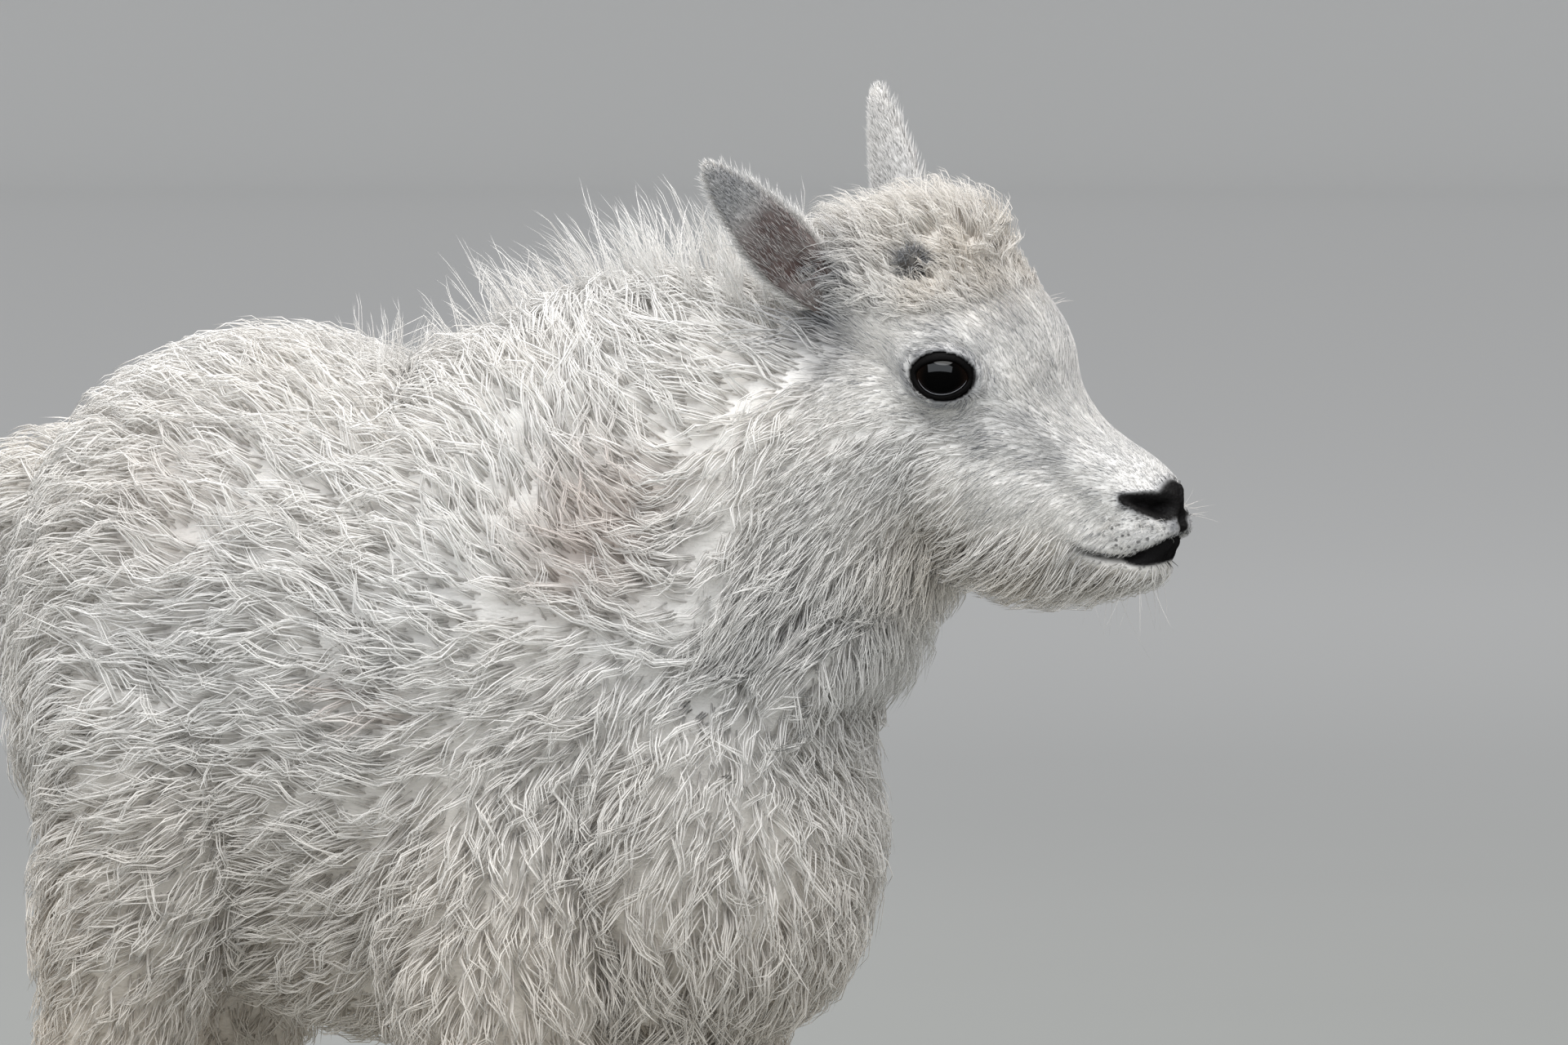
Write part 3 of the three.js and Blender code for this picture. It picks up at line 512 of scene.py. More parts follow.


# Markings, the same for the skin and the coat. Each is a soft ball on both sides of the head's
# frame: centre, radius and strength. Some of the grey is painted shade, and the brown spots of painted shade
# in the wool's creases are on the right side of the trunk only
GREY_SPOTS = [
    (on_head(-60, 33, -2), 17, 0.85), (on_head(-50, 36, -14), 13, 0.5), (on_head(-66, 30, 14), 15, 0.8),
    # The next three, on the sides of the bridge of the nose, and (16, 14, 18), (34, 8, -8) and (56, 8, -28)
    # on the forehead and bridge, are partly grey skin under the short hair and partly painted shade.
    (on_head(26, 20, -2), 13, 0.42), (on_head(40, 17, -5), 12, 0.42), (on_head(14, 27, -6), 12, 0.34),
    # (-16, 37, 3) is painted shade that dulls the lit bulge of the lids behind the eye.
    ((-6, 36, -18), 8, 0.16), ((-16, 37, 3), 7, 0.5), ((-4, 34, 15), 9, 0.42), ((12, 31, 8), 8, 0.36),
    ((14, 30, -6), 8, 0.3), ((16, 14, 18), 19, 0.46), ((56, 8, -28), 20, 0.28), ((34, 8, -8), 18, 0.38),
    ((-8, 36, 2), 9, 0.3), ((66, 15, -60), 9, 0.34), ((72, 5, -57), 5.5, 0.8), ((54, 19, -63), 8, 0.2),
    (on_head(-4, 38, -30), 14, 0.12), ((46, 19, -66), 4, 0.4),
]
CREAM_SPOTS = [
    ((-27, 0, 52), 40, 0.4), ((-2, 14, 40), 16, 0.75), ((8, 12, 30), 15, 0.8), ((-10, 28, 28), 12, 0.7),
    ((-12, 22, -66), 26, 0.7), ((20, 16, -76), 22, 0.8), ((46, 12, -82), 18, 0.5), ((-2, 26, 34), 12, 0.55),
    ((-30, 22, -58), 22, 0.4),
]
BLACK_SPOTS = [((-18.5, 25.5, 39), 6.5, 0.7)]
# Brown painted shade: the creases where the neck meets the shoulder, and small dark gaps between locks on the
# right side.
CREASE_SHADE_SPOTS = [((100, -66, 385), 22, 0.42), ((112, -62, 402), 15, 0.32), ((88, -68, 372), 12, 0.4),
               ((10, -88, 330), 7, 0.5), ((24, -88, 322), 6, 0.45), ((-70, -88, 400), 34, 0.12)]


def soft_spots(points, spots, sides=(-1, 1)):
    total = np.zeros(len(points))
    for centre, radius, strength in spots:
        for side in sides:
            away = np.linalg.norm(points - np.array(centre) * (1, side, 1), axis=1)
            total = np.maximum(total, strength * np.exp(-((away / radius) ** 2) * 1.1))
    return total


def marks(points):
    """Shares of grey, cream, black and brown painted shade of creases for points of the maker's frame."""
    head = to_head(points)
    on_it = smoothstep(head[:, 0], -95, -70)
    grey = soft_spots(head, GREY_SPOTS) * on_it
    cream = soft_spots(head, CREAM_SPOTS) * on_it
    black = soft_spots(head, BLACK_SPOTS)
    for side in (-1, 1):
        black = np.maximum(black, 1 - smoothstep(comma_reach(head, side, NOSE_PAD), 0.80, 1.16))
        grey = np.maximum(grey, 0.6 * (1 - smoothstep(comma_reach(head, side, NOSE_PAD), 1.0, 1.6)))
        black = np.maximum(black, nostril_black(head, side))
        black = np.maximum(black, 1 - smoothstep(comma_reach(head, side, PHILTRUM), 0.7, 1.15))
        u, v, w = seen_along_eye(head, side)
        reach = lid_reach(u, v)
        black = np.maximum(black, (1 - smoothstep(reach, 1.02, 1.13)) * (w > -3))
        # Grey round the eye's rim: partly the lids' grey skin, partly painted shade made deeper over the lit
        # bulge of the lids.
        grey = np.maximum(grey, 0.72 * (1 - smoothstep(reach, 1.1, 1.5)) * (w > 0))
    height, fade = mouth_reach(head)
    lip = bell(height, 0, 1.4) * fade
    deep = 0.7 + 5.4 * smoothstep(head[:, 0], 53, 68) - 3.4 * smoothstep(head[:, 0], 69.5, 74)
    below = smoothstep(height + deep, -0.8, 0.8) * (1 - smoothstep(height, 0.4, 1.6))
    black = np.maximum(black, np.maximum(lip, below * smoothstep(head[:, 0], 46, 54)))
    # Brown painted shade in the creases of the wool, on the right side only.
    earth = soft_spots(points, CREASE_SHADE_SPOTS, (1,))
    # Cream of the legs, fading up the belly and chest: the legs' own cream, and warm painted shade that
    # darkens the lower trunk.
    legs = 1 - smoothstep(points[:, 2], 170, 360)
    behind = 1 - smoothstep(points[:, 0], -150, -60)
    cream = np.maximum(cream, 0.8 * legs + 0.2 * behind * (1 - on_it))
    return np.stack([grey, cream, np.clip(black, 0, 1), earth], 1)


# Shader node groups that the materials share
def socket(group, name, kind, value=None):
    """An input of the group with its value, or else an output."""
    made = group.interface.new_socket(name, in_out="INPUT" if value else "OUTPUT", socket_type=kind)
    if value:
        made.default_value = value


def feed(slot, value):
    """Gives an input another node's output, or a plain value."""
    if isinstance(value, bpy.types.NodeSocket):
        slot.id_data.links.new(value, slot)
    else:
        slot.default_value = value


def node(tree, kind, inputs=None, **settings):
    """A node with its settings and, by name or number, some of its inputs."""
    made = tree.nodes.new(kind)
    made.location = (180 * len(tree.nodes), 0)
    for key, value in settings.items():
        setattr(made, key, value)
    for key, value in (inputs or {}).items():
        feed(made.inputs[key], value)
    return made


def mix_colour(tree, factor, first, second):
    return node(tree, "ShaderNodeMix", {0: factor, 6: first, 7: second}, data_type="RGBA").outputs[2]


def mix_number(tree, factor, first, second=0.0):
    return node(tree, "ShaderNodeMix", {0: factor, 2: first, 3: second}, data_type="FLOAT").outputs[0]


def maths(tree, operation, *values, clamp=False):
    made = node(tree, "ShaderNodeMath", dict(enumerate(values)), operation=operation, use_clamp=clamp)
    return made.outputs[0]


def ranged(tree, value, low, high, least=0.0, most=1.0, curve="SMOOTHSTEP"):
    """Carries value from low and high to least and most, and holds it there beyond them."""
    return node(tree, "ShaderNodeMapRange", dict(enumerate((value, low, high, least, most))),
                interpolation_type=curve).outputs[0]


def here(tree):
    """The place on the piece, in metres."""
    return node(tree, "ShaderNodeTexCoord").outputs["Object"]


def stretched(tree, scale):
    """The place on the piece, with each axis scaled."""
    return node(tree, "ShaderNodeMapping", {"Vector": here(tree), "Scale": scale}).outputs[0]


def noise(tree, scale, detail=3.0, coordinates=None):
    inputs = {"Vector": coordinates or here(tree), "Scale": scale, "Detail": detail}
    return node(tree, "ShaderNodeTexNoise", inputs).outputs["Fac"]


def cells(tree, scale):
    """Distance from the nearest of many scattered points."""
    return node(tree, "ShaderNodeTexVoronoi", {"Vector": here(tree), "Scale": scale}).outputs["Distance"]


def bumped(tree, height, strength, distance, below=None):
    """The normal of a surface raised by height, over another normal if there is one below."""
    made = node(tree, "ShaderNodeBump", {"Height": height, "Strength": strength, "Distance": distance})
    if below:
        feed(made.inputs["Normal"], below)
    return made.outputs[0]


def painted(tree, name):
    """An attribute of the piece's points."""
    return node(tree, "ShaderNodeAttribute", attribute_name=name).outputs


def marks_parts(tree):
    """The marks of a piece: grey, cream and black, then brown painted shade of creases, which an ear's skin
    uses for its dark cup.
    """
    marked = painted(tree, "marks")
    return [*node(tree, "ShaderNodeSeparateColor", {0: marked["Color"]}).outputs, marked["Alpha"]]


def rgba(colour):
    return (colour[0], colour[1], colour[2], 1)


MUZZLE_DOTS = (64, 15, -61)  # where dark dots mark the roots of the whiskers, head frame
PAINTS = ("White", "Cream", "Grey", "Black", "Earth")


def markings_group():
    """Coat colour from the marks painted on the piece and from soft drifts of tone."""
    name = "Kid markings"
    if name in bpy.data.node_groups:
        return bpy.data.node_groups[name]
    group = bpy.data.node_groups.new(name, "ShaderNodeTree")
    for paint in PAINTS:
        socket(group, paint, "NodeSocketColor", rgba(getattr(colours(), paint.lower())))
    socket(group, "Colour", "NodeSocketColor")
    paints = node(group, "NodeGroupInput").outputs
    grey, cream, black, earth = marks_parts(group)
    drift = maths(group, "MULTIPLY_ADD", noise(group, 14.0, 4.0), 1.6, -0.62)
    warm = maths(group, "MULTIPLY", maths(group, "MAXIMUM", drift, 0.0), 0.42, clamp=True)
    base = mix_colour(group, warm, paints["White"], paints["Cream"])
    base = mix_colour(group, cream, base, paints["Cream"])
    uneven = maths(group, "MULTIPLY_ADD", noise(group, 90.0, 2.0), 0.64, 0.68)
    base = mix_colour(group, maths(group, "MULTIPLY", grey, uneven, clamp=True), base, paints["Grey"])
    # Brown painted shade in the creases of the wool; an ear's skin uses this paint for the dark of its lower
    # cup.
    base = mix_colour(group, maths(group, "MULTIPLY", earth, uneven, clamp=True), base, paints["Earth"])
    dot = ranged(group, cells(group, 390.0), 0.16, 0.36, 0.7, 0.0)
    along, out, above = MUZZLE_DOTS
    for side in (-1, 1):
        lip = place(from_head((along, side * out, above)))
        away = node(group, "ShaderNodeVectorMath", {0: here(group), 1: lip}, operation="DISTANCE")
        dotted = maths(group, "MULTIPLY", ranged(group, away.outputs["Value"], 0.009, 0.019, 1.0, 0.0), dot)
        base = mix_colour(group, dotted, base, paints["Black"])
    base = mix_colour(group, black, base, paints["Black"])
    node(group, "NodeGroupOutput", {0: base})
    return group


def marked_colour(tree, **changed):
    """The colour of the markings, with some of its paints changed."""
    return node(tree, "ShaderNodeGroup", changed, node_tree=markings_group()).outputs[0]


def new_material(name, roughness, specular):
    """A material, its nodes and the inputs of its surface."""
    material = bpy.data.materials.new(name)
    material.use_nodes = True
    tree = material.node_tree
    shader = tree.nodes["Principled BSDF"]
    shader.inputs["Roughness"].default_value = roughness
    shader.inputs["Specular IOR Level"].default_value = specular
    return material, tree, shader.inputs


def strand_material(name, root_shade_share, spread, roughness=0.75):
    """Hair or wool: the markings, with painted shade that darkens each strand towards its root, and a little
    different from strand to strand.
    """
    material, tree, surface = new_material(name, roughness, 0.15)
    surface["Sheen Weight"].default_value = 0.4
    surface["Sheen Roughness"].default_value = 0.5
    tone, along, _ = node(tree, "ShaderNodeSeparateXYZ", {0: painted(tree, "strand")["Vector"]}).outputs
    own = maths(tree, "MULTIPLY_ADD", tone, spread, 1 - spread * 0.75)
    # The strand darkens towards its root: painted shade deep in the coat.
    share = maths(tree, "MULTIPLY", ranged(tree, along, 0.0, 0.7, root_shade_share, 1.0), own)
    tint = node(tree, "ShaderNodeVectorMath", {0: marked_colour(tree), "Scale": share}, operation="SCALE")
    feed(surface["Base Color"], tint.outputs[0])
    return material


def skin_material():
    """Matted undercoat and short fur, with fine pores and more gloss where the skin is bare and black."""
    material, tree, surface = new_material("kid_skin", 0.8, 0.14)
    feed(surface["Base Color"], marked_colour(tree))
    black = marks_parts(tree)[2]
    feed(surface["Roughness"], ranged(tree, black, 0.0, 1.0, 0.85, 0.6, "LINEAR"))
    streaks = stretched(tree, (0.35, 1, 1))
    matted = bumped(tree, mix_number(tree, black, noise(tree, 330.0, 4.0, streaks)), 0.8, 0.0022)
    fine = mix_number(tree, black, noise(tree, 900.0, 2.0, streaks), cells(tree, 850.0))
    feed(surface["Normal"], bumped(tree, fine, 0.5, 0.0006, matted))
    return material


def paint_marks(mesh, shares):
    """Stores the marks on a mesh's points."""
    layer = mesh.color_attributes.new("marks", "FLOAT_COLOR", "POINT")
    layer.data.foreach_set("color", np.asarray(shares, np.float32).ravel())


# The skin
HEAD_FINE_FROM = -62.0  # head-frame x from which the skin is finest
SKIN_VOXEL = 0.002
EAR_VOXEL = 0.0008


class KID_OT_skin(bpy.types.Operator):
    """One skin for the body, neck, head and legs, with lids, nostrils, lips and folds"""
    bl_idname = "kid.skin"
    bl_label = "Skin"

    def execute(self, context):
        FINISHED_SKIN.clear()
        shells = [body_loft(TRUNK), body_loft(BREAST), body_loft(NECK), body_loft(TAIL)]
        shells += [leg_loft(leg) for leg in LEGS]
        shells += [head_loft(SKULL), head_loft(JAW, grown=JAW_PAD)]
        shells += [ball((58, 0, -49), (15.5, 13.5, 12)), ball((57, 0, -58.5), (17, 19, 12))]
        shells += [ball(CAP_CENTRE, CAP_RADII - CROWN_DEPTH * 0.75)]
        for side in (-1, 1):
            shells.append(ball(on_head(-10, side * 24, 12), (20, 13.5, 13), HEAD_AXIS_DROP))
            shells.append(ball(on_head(2, side * 21, -17), (38, 14, 24), HEAD_AXIS_DROP))
        points, faces = [], []
        for shell_points, shell_faces in shells:
            offset = sum(len(p) for p in points)
            points.append(shell_points)
            faces += [tuple(offset + i for i in face) for face in shell_faces]
        skin = mesh_of("skin", place(np.vstack(points)), faces)
        choose(skin)
        skin.data.remesh_voxel_size = SKIN_VOXEL
        skin.data.remesh_voxel_adaptivity = 0.0
        bpy.ops.object.voxel_remesh()
        apply_modifier(skin, "SMOOTH", factor=0.5, iterations=10)
        group = skin.vertex_groups.new(name="coarse")
        head = to_head(unplace(points_of(skin.data)))
        coarse = np.nonzero(head[:, 0] < HEAD_FINE_FROM - 12)[0]
        group.add(coarse.tolist(), 1.0, "REPLACE")
        apply_modifier(skin, "DECIMATE", ratio=0.42, vertex_group="coarse")
        skin.vertex_groups.clear()
        head = to_head(unplace(points_of(skin.data)))
        fine = head[:, 0] > HEAD_FINE_FROM
        choose(skin)
        bpy.ops.object.mode_set(mode="EDIT")
        bpy.ops.mesh.select_all(action="DESELECT")
        bpy.ops.object.mode_set(mode="OBJECT")
        in_face = [all(fine[i] for i in polygon.vertices) for polygon in skin.data.polygons]
        skin.data.polygons.foreach_set("select", in_face)
        bpy.ops.object.mode_set(mode="EDIT")
        bpy.ops.mesh.subdivide(number_cuts=1, smoothness=0.6)
        bpy.ops.mesh.select_all(action="SELECT")
        bpy.ops.mesh.quads_convert_to_tris()
        bpy.ops.object.mode_set(mode="OBJECT")
        head = to_head(unplace(points_of(skin.data)))
        outward = normals_of(skin.data) @ HEAD_AXES
        near = head[:, 0] > -60
        shares = marks(from_head(head))
        head[near] = sculpt_head(head[near], outward[near])
        set_points(skin.data, place(from_head(head)))
        paint_marks(skin.data, shares)
        choose(skin)
        bpy.ops.object.shade_smooth()
        skin.data.materials.append(skin_material())
        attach(skin, "root")
        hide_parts(*FLESH)
        return {"FINISHED"}


def scattered_on(piece, rng, count):
    """Points spread over a mesh by area, with the ways that its faces look."""
    corners = points_of(piece.data)[triangles_of(piece.data)]
    cross = np.cross(corners[:, 1] - corners[:, 0], corners[:, 2] - corners[:, 0])
    areas = np.linalg.norm(cross, axis=1)
    picks = rng.choice(len(areas), count, p=areas / areas.sum())
    a, b = np.sqrt(rng.random(count))[:, None], rng.random(count)[:, None]
    weights = np.concatenate([1 - a, a * (1 - b), a * b], 1)
    return (corners[picks] * weights[:, :, None]).sum(1), unit(cross[picks])


# The coat
CREST_FROM, CREST_TO = -30.0, 152.0  # where long hair stands along the withers and the neck
LOWEST_TUFT = 150.0  # below this height the legs wear short hair
THROAT = (192.0, 372.0)  # x and z of the middle of the fine hair under the jaw
THROAT_REACH = 46.0
HOOF_TOP = 19.0
BUD_REACH = 5.0  # round each horn bud the skin is bare, and the bud wears hair of its own


def lie_of(points):
    """The way that the coat lies, for points of the maker's frame."""
    x, y, z = points.T
    angle = 0.25 * smoothstep(z, 300, 400) - 0.45 * (1 - smoothstep(z, 230, 310))
    shoulder = bell(x, 78, 46) * smoothstep(z, 325, 400)
    angle += 0.75 * shoulder
    angle -= 1.15 * smoothstep(x, 0, 70) * (1 - smoothstep(z, 280, 365))
    rump = 1 - smoothstep(x, -140, -70)
    angle -= rump * (0.45 + 0.5 * (1 - smoothstep(z, 320, 430)))
    neck = smoothstep(x, 100, 168) * (1 - 0.75 * smoothstep(z - 0.45 * x, 352, 378))
    angle = angle * (1 - neck) - 1.2 * neck
    leg = 1 - smoothstep(z, 170, 250)
    angle = angle * (1 - leg) - 1.3 * leg
    angle += (0.30 * np.sin(x / 19 + 1.7 * np.sin(z / 27)) * np.cos(z / 23 + y / 31)) * (1 - leg)
    body = np.stack([-np.cos(angle), np.zeros(len(x)), np.sin(angle)], 1)
    head = to_head(points)
    face = face_lie(head) @ HEAD_AXES.T
    share = on_face(head)[:, None]
    return unit(body * (1 - share) + face * share)


def along_face(head):
    """Distance forward along a line that leans as the edge of the neck's wool does."""
    return head[:, 0] - 0.35 * head[:, 2]


def face_lie(head):
    """Hair runs from the nose up and back, over the cheeks down and back, and round the eyes."""
    above = head @ HEAD_UP
    share = smoothstep(above, -34, 4)[:, None]
    over = -HEAD_ALONG + 0.15 * HEAD_UP
    under = np.array([-0.80, 0, -0.60])
    lie = under * (1 - share) + over * share
    lie = lie + np.stack([np.zeros(len(head)), 0.25 * np.sign(head[:, 1]), np.zeros(len(head))], 1) * share
    for side in (-1, 1):
        centre, _, _, out = eye_axes(side)
        away = head - centre
        away = away - np.outer(away @ out, out)
        distance = np.linalg.norm(away, axis=1)
        radial = away / np.maximum(distance, 1e-6)[:, None]
        push = (np.minimum(1.0, (11.5 / np.maximum(distance, 6)) ** 2) * (head[:, 1] * side > 8))[:, None]
        lie = lie - push * (2 * (lie * radial).sum(1)[:, None] * radial - lie) + push * radial * 0.5
    return unit(lie)


def full_depth(points):
    """Depth of the coat over the flesh of the body, mm: deep on the trunk, thin on the legs."""
    x, z = points[:, 0], points[:, 2]
    deep = sizes().coat_depth * 1000
    deep_from = np.where(x < -70, 310, 250)
    depth = 3 + (deep - 3) * smoothstep((z - 110) / (deep_from - 110), 0, 1)
    onto_neck = smoothstep(x, 90, 140) * (z > 330)
    depth = depth + (deep * 0.72 - depth) * onto_neck
    return np.where(x < -166, np.minimum(depth, 13), depth)


def undercoat(points):
    """How far the dense undercoat stands over the flesh; the skin's mesh is its surface."""
    return (full_depth(points) - 3) * 0.58


def from_throat(points):
    """Distance from the middle of the throat, seen from the side."""
    return np.hypot(points[:, 0] - THROAT[0], points[:, 2] - THROAT[1])


def coat_depth(points):
    """Height of the wool and hair over the skin's mesh, mm."""
    depth = full_depth(points) - undercoat(points)
    depth = depth * (1 - 0.62 * bell(from_throat(points), 0, THROAT_REACH))
    head = to_head(points)
    below = head[:, 2] + 15 * smoothstep(head[:, 0], 26, 54)
    beard = (1 - smoothstep(below, -68, -48)) * (1 - smoothstep(head[:, 0], 44, 80)) * 13
    cheek = (1 - smoothstep(head[:, 0], -24, 34)) * (1 - smoothstep(head[:, 2], -30, -2)) * 4.2
    crown = crown_rise(head) * (CROWN_DEPTH - 3)
    short = 1.4 + np.maximum(np.maximum(beard, cheek), crown)
    return depth + (short - depth) * on_face(head)


def on_face(head):
    """1 on the head in front of the neck's wool, 0 behind and below it."""
    return smoothstep(along_face(head), -66, -40) * smoothstep(head[:, 2], -122, -96)


def forehead(head):
    """1 on the crown, fading to 0 down the forehead and towards the eyes and temples."""
    top = smoothstep(head[:, 2] - 0.55 * np.maximum(head[:, 0] - 4, 0), 17, 38)
    return top * smoothstep(along_face(head), -96, -70)


def crown_rise(head):
    """1 on top of the head, fading to 0 where the crown's wool lies down over the forehead."""
    return smoothstep(head[:, 2] - 0.75 * np.maximum(head[:, 0], 0), 16, 44) * forehead(head)


def zones(points):
    """0 short hair of the face, 1 longer hair of cheeks, throat and shanks, 2 wool, 3 crown, 4 bare."""
    head = to_head(points)
    depth = coat_depth(points)
    face = on_face(head) > 0.6
    zone = np.full(len(points), 2)
    throat = from_throat(points) < THROAT_REACH * 0.62
    zone[throat | (points[:, 2] < LOWEST_TUFT) | face] = 1
    zone[face & (depth < 3.4)] = 0
    zone[(forehead(head) > 0.12) & (head[:, 0] > -70)] = 3
    zone[(points[:, 2] < HOOF_TOP) | (from_buds(head) < BUD_REACH)] = 4
    for side in (-1, 1):
        u, v, w = seen_along_eye(head, side)
        zone[(lid_reach(u, v) < 0.98) & (w > -2)] = 4
    height, fade = mouth_reach(head)
    zone[(np.abs(height) < 1.2) & (fade > 0.3)] = 4
    zone[(zone < 2) & (marks(points)[:, 2] > 0.8)] = 4
    return zone


def from_buds(head):
    """Distance to the nearer horn bud, mm."""
    return np.min([np.linalg.norm(head - np.array(BUD) * (1, side, 1), axis=1) for side in (-1, 1)], axis=0)


FINISHED_SKIN = []


def finished_skin():
    """The skin as numbers, worked out once."""
    if not FINISHED_SKIN:
        FINISHED_SKIN.append(Skin())
    return FINISHED_SKIN[0]


class Unwrap:
    """A flat unwrap of a lighter copy of a piece, read at the nearest place."""

    def __init__(self, piece, share):
        copy = piece.copy()
        copy.data = piece.data.copy()
        copy.name = "unwrap"
        bpy.context.scene.collection.objects.link(copy)
        apply_modifier(copy, "DECIMATE", ratio=share)
        with editing(copy):
            bpy.ops.uv.smart_project(angle_limit=math.radians(66), island_margin=0.004)
        mesh = copy.data
        mesh.calc_loop_triangles()
        loops = np.empty(len(mesh.loop_triangles) * 3, np.int32)
        mesh.loop_triangles.foreach_get("loops", loops)
        uv = np.empty(len(mesh.loops) * 2, np.float32)
        mesh.uv_layers.active.data.foreach_get("uv", uv)
        self.uv = uv.reshape(-1, 2)[loops.reshape(-1, 3)]
        corners, triangles = points_of(mesh), triangles_of(mesh)
        self.corners = corners[triangles]
        self.tree = BVHTree.FromPolygons([tuple(p) for p in corners], triangles.tolist())
        bpy.data.objects.remove(copy)

    def uv_at(self, points):
        """Where these roots stand on the unwrap."""
        found = [self.tree.find_nearest(Vector(p)) for p in points]
        index = np.array([f[2] for f in found])
        at = np.array([f[0] for f in found])
        a, b, c = (self.corners[index, k] for k in range(3))
        v0, v1, v2 = b - a, c - a, at - a
        d00, d01, d11 = (v0 * v0).sum(1), (v0 * v1).sum(1), (v1 * v1).sum(1)
        d20, d21 = (v2 * v0).sum(1), (v2 * v1).sum(1)
        below = np.maximum(d00 * d11 - d01 * d01, 1e-20)
        s, t = (d11 * d20 - d01 * d21) / below, (d00 * d21 - d01 * d20) / below
        weights = np.clip(np.stack([1 - s - t, s, t], 1), 0, 1)
        weights /= weights.sum(1, keepdims=True)
        return (self.uv[index] * weights[:, :, None]).sum(1)


class Skin:
    """The finished skin as numbers: nearest points, normals, areas and a flat unwrap."""

    def __init__(self):
        skin = bpy.data.objects["skin"]
        self.points = points_of(skin.data)
        self.triangles = triangles_of(skin.data)
        self.tree = BVHTree.FromPolygons([tuple(p) for p in self.points], self.triangles.tolist())
        corners = self.points[self.triangles]
        cross = np.cross(corners[:, 1] - corners[:, 0], corners[:, 2] - corners[:, 0])
        self.areas = np.linalg.norm(cross, axis=1) / 2
        self.normals = normals_of(skin.data)
        self.middles = unplace(corners.mean(1))
        self.zone = zones(self.middles)
        self.uv_at = Unwrap(skin, 0.045).uv_at

    def scatter(self, rng, zone, spacing_of, evenly=True):
        """Roots over a zone of the skin, about as far apart as spacing_of says."""
        spacing = np.maximum(spacing_of(self.middles), 0.3)
        wanted = np.where(self.zone == zone, self.areas * 1e6 / spacing ** 2, 0)
        total = wanted.sum()
        count = int(total * (2.6 if evenly else 1.0))
        picks = rng.choice(len(wanted), count, p=wanted / total)
        a, b = np.sqrt(rng.random(count))[:, None], rng.random(count)[:, None]
        weights = np.concatenate([1 - a, a * (1 - b), a * b], 1)
        points = (self.points[self.triangles[picks]] * weights[:, :, None]).sum(1)
        normals = unit((self.normals[self.triangles[picks]] * weights[:, :, None]).sum(1))
        if evenly:
            kept = spread_out(points * 1000, spacing[picks] * 0.8)
            points, normals = points[kept], normals[kept]
        return points, normals

    def nearest(self, points):
        found = [self.tree.find_nearest(Vector(p)) for p in points]
        at = np.array([f[0] for f in found])
        tri = self.triangles[np.array([f[2] for f in found])]
        away = np.linalg.norm(self.points[tri] - at[:, None], axis=2)
        weights = 1 / np.maximum(away, 1e-6)
        normals = unit((self.normals[tri] * weights[:, :, None]).sum(1))
        return at, normals


def spread_out(points, spacing):
    """Keeps points that stay their spacing apart, by a grid of cells."""
    cell = float(spacing.max())
    keys = np.floor(points / cell).astype(int)
    cells = [(dx, dy, dz) for dx in (-1, 0, 1) for dy in (-1, 0, 1) for dz in (-1, 0, 1)]
    grid, kept = {}, []
    for i, (point, key, gap) in enumerate(zip(points.tolist(), map(tuple, keys.tolist()), spacing.tolist())):
        gap2 = gap * gap
        px, py, pz = point
        near = [q for c in cells for q in grid.get((key[0] + c[0], key[1] + c[1], key[2] + c[2]), ())]
        if all((q[0] - px) ** 2 + (q[1] - py) ** 2 + (q[2] - pz) ** 2 >= gap2 for q in near):
            grid.setdefault(key, []).append(point)
            kept.append(i)
    return np.array(kept, int)


def walk(skin, points, normals, lengths, stations, rng, stray=0.2):
    """Guides that follow the skin along the lie: foot points, normals and ways at each station."""
    feet, outs, ways = [points], [normals], []
    turn = rng.normal(0, stray, len(points))
    at, out = points, normals
    previous = 0.0
    for station in list(stations[1:]) + [None]:
        lie = lie_of(unplace(at))
        flat = lie - out * (lie * out).sum(1)[:, None]
        weak = np.linalg.norm(flat, axis=1) < 0.12
        flat[weak] = np.array([0, 0, -1.0]) - out[weak] * (-out[weak][:, 2])[:, None]
        flat = unit(flat)
        side = np.cross(out, flat)
        flat = flat * np.cos(turn)[:, None] + side * np.sin(turn)[:, None]
        ways.append(flat)
        if station is None:
            break
        step = (lengths * (station - previous) / 1000)[:, None]
        previous = station
        at, out = skin.nearest(at + flat * step)
        feet.append(at)
        outs.append(out)
    return np.stack(feet, 1), np.stack(outs, 1), np.stack(ways, 1)


PATCH = 0.003  # side of a strand's patch on the unwrap
LARGEST = 190000  # triangles of a piece, at most


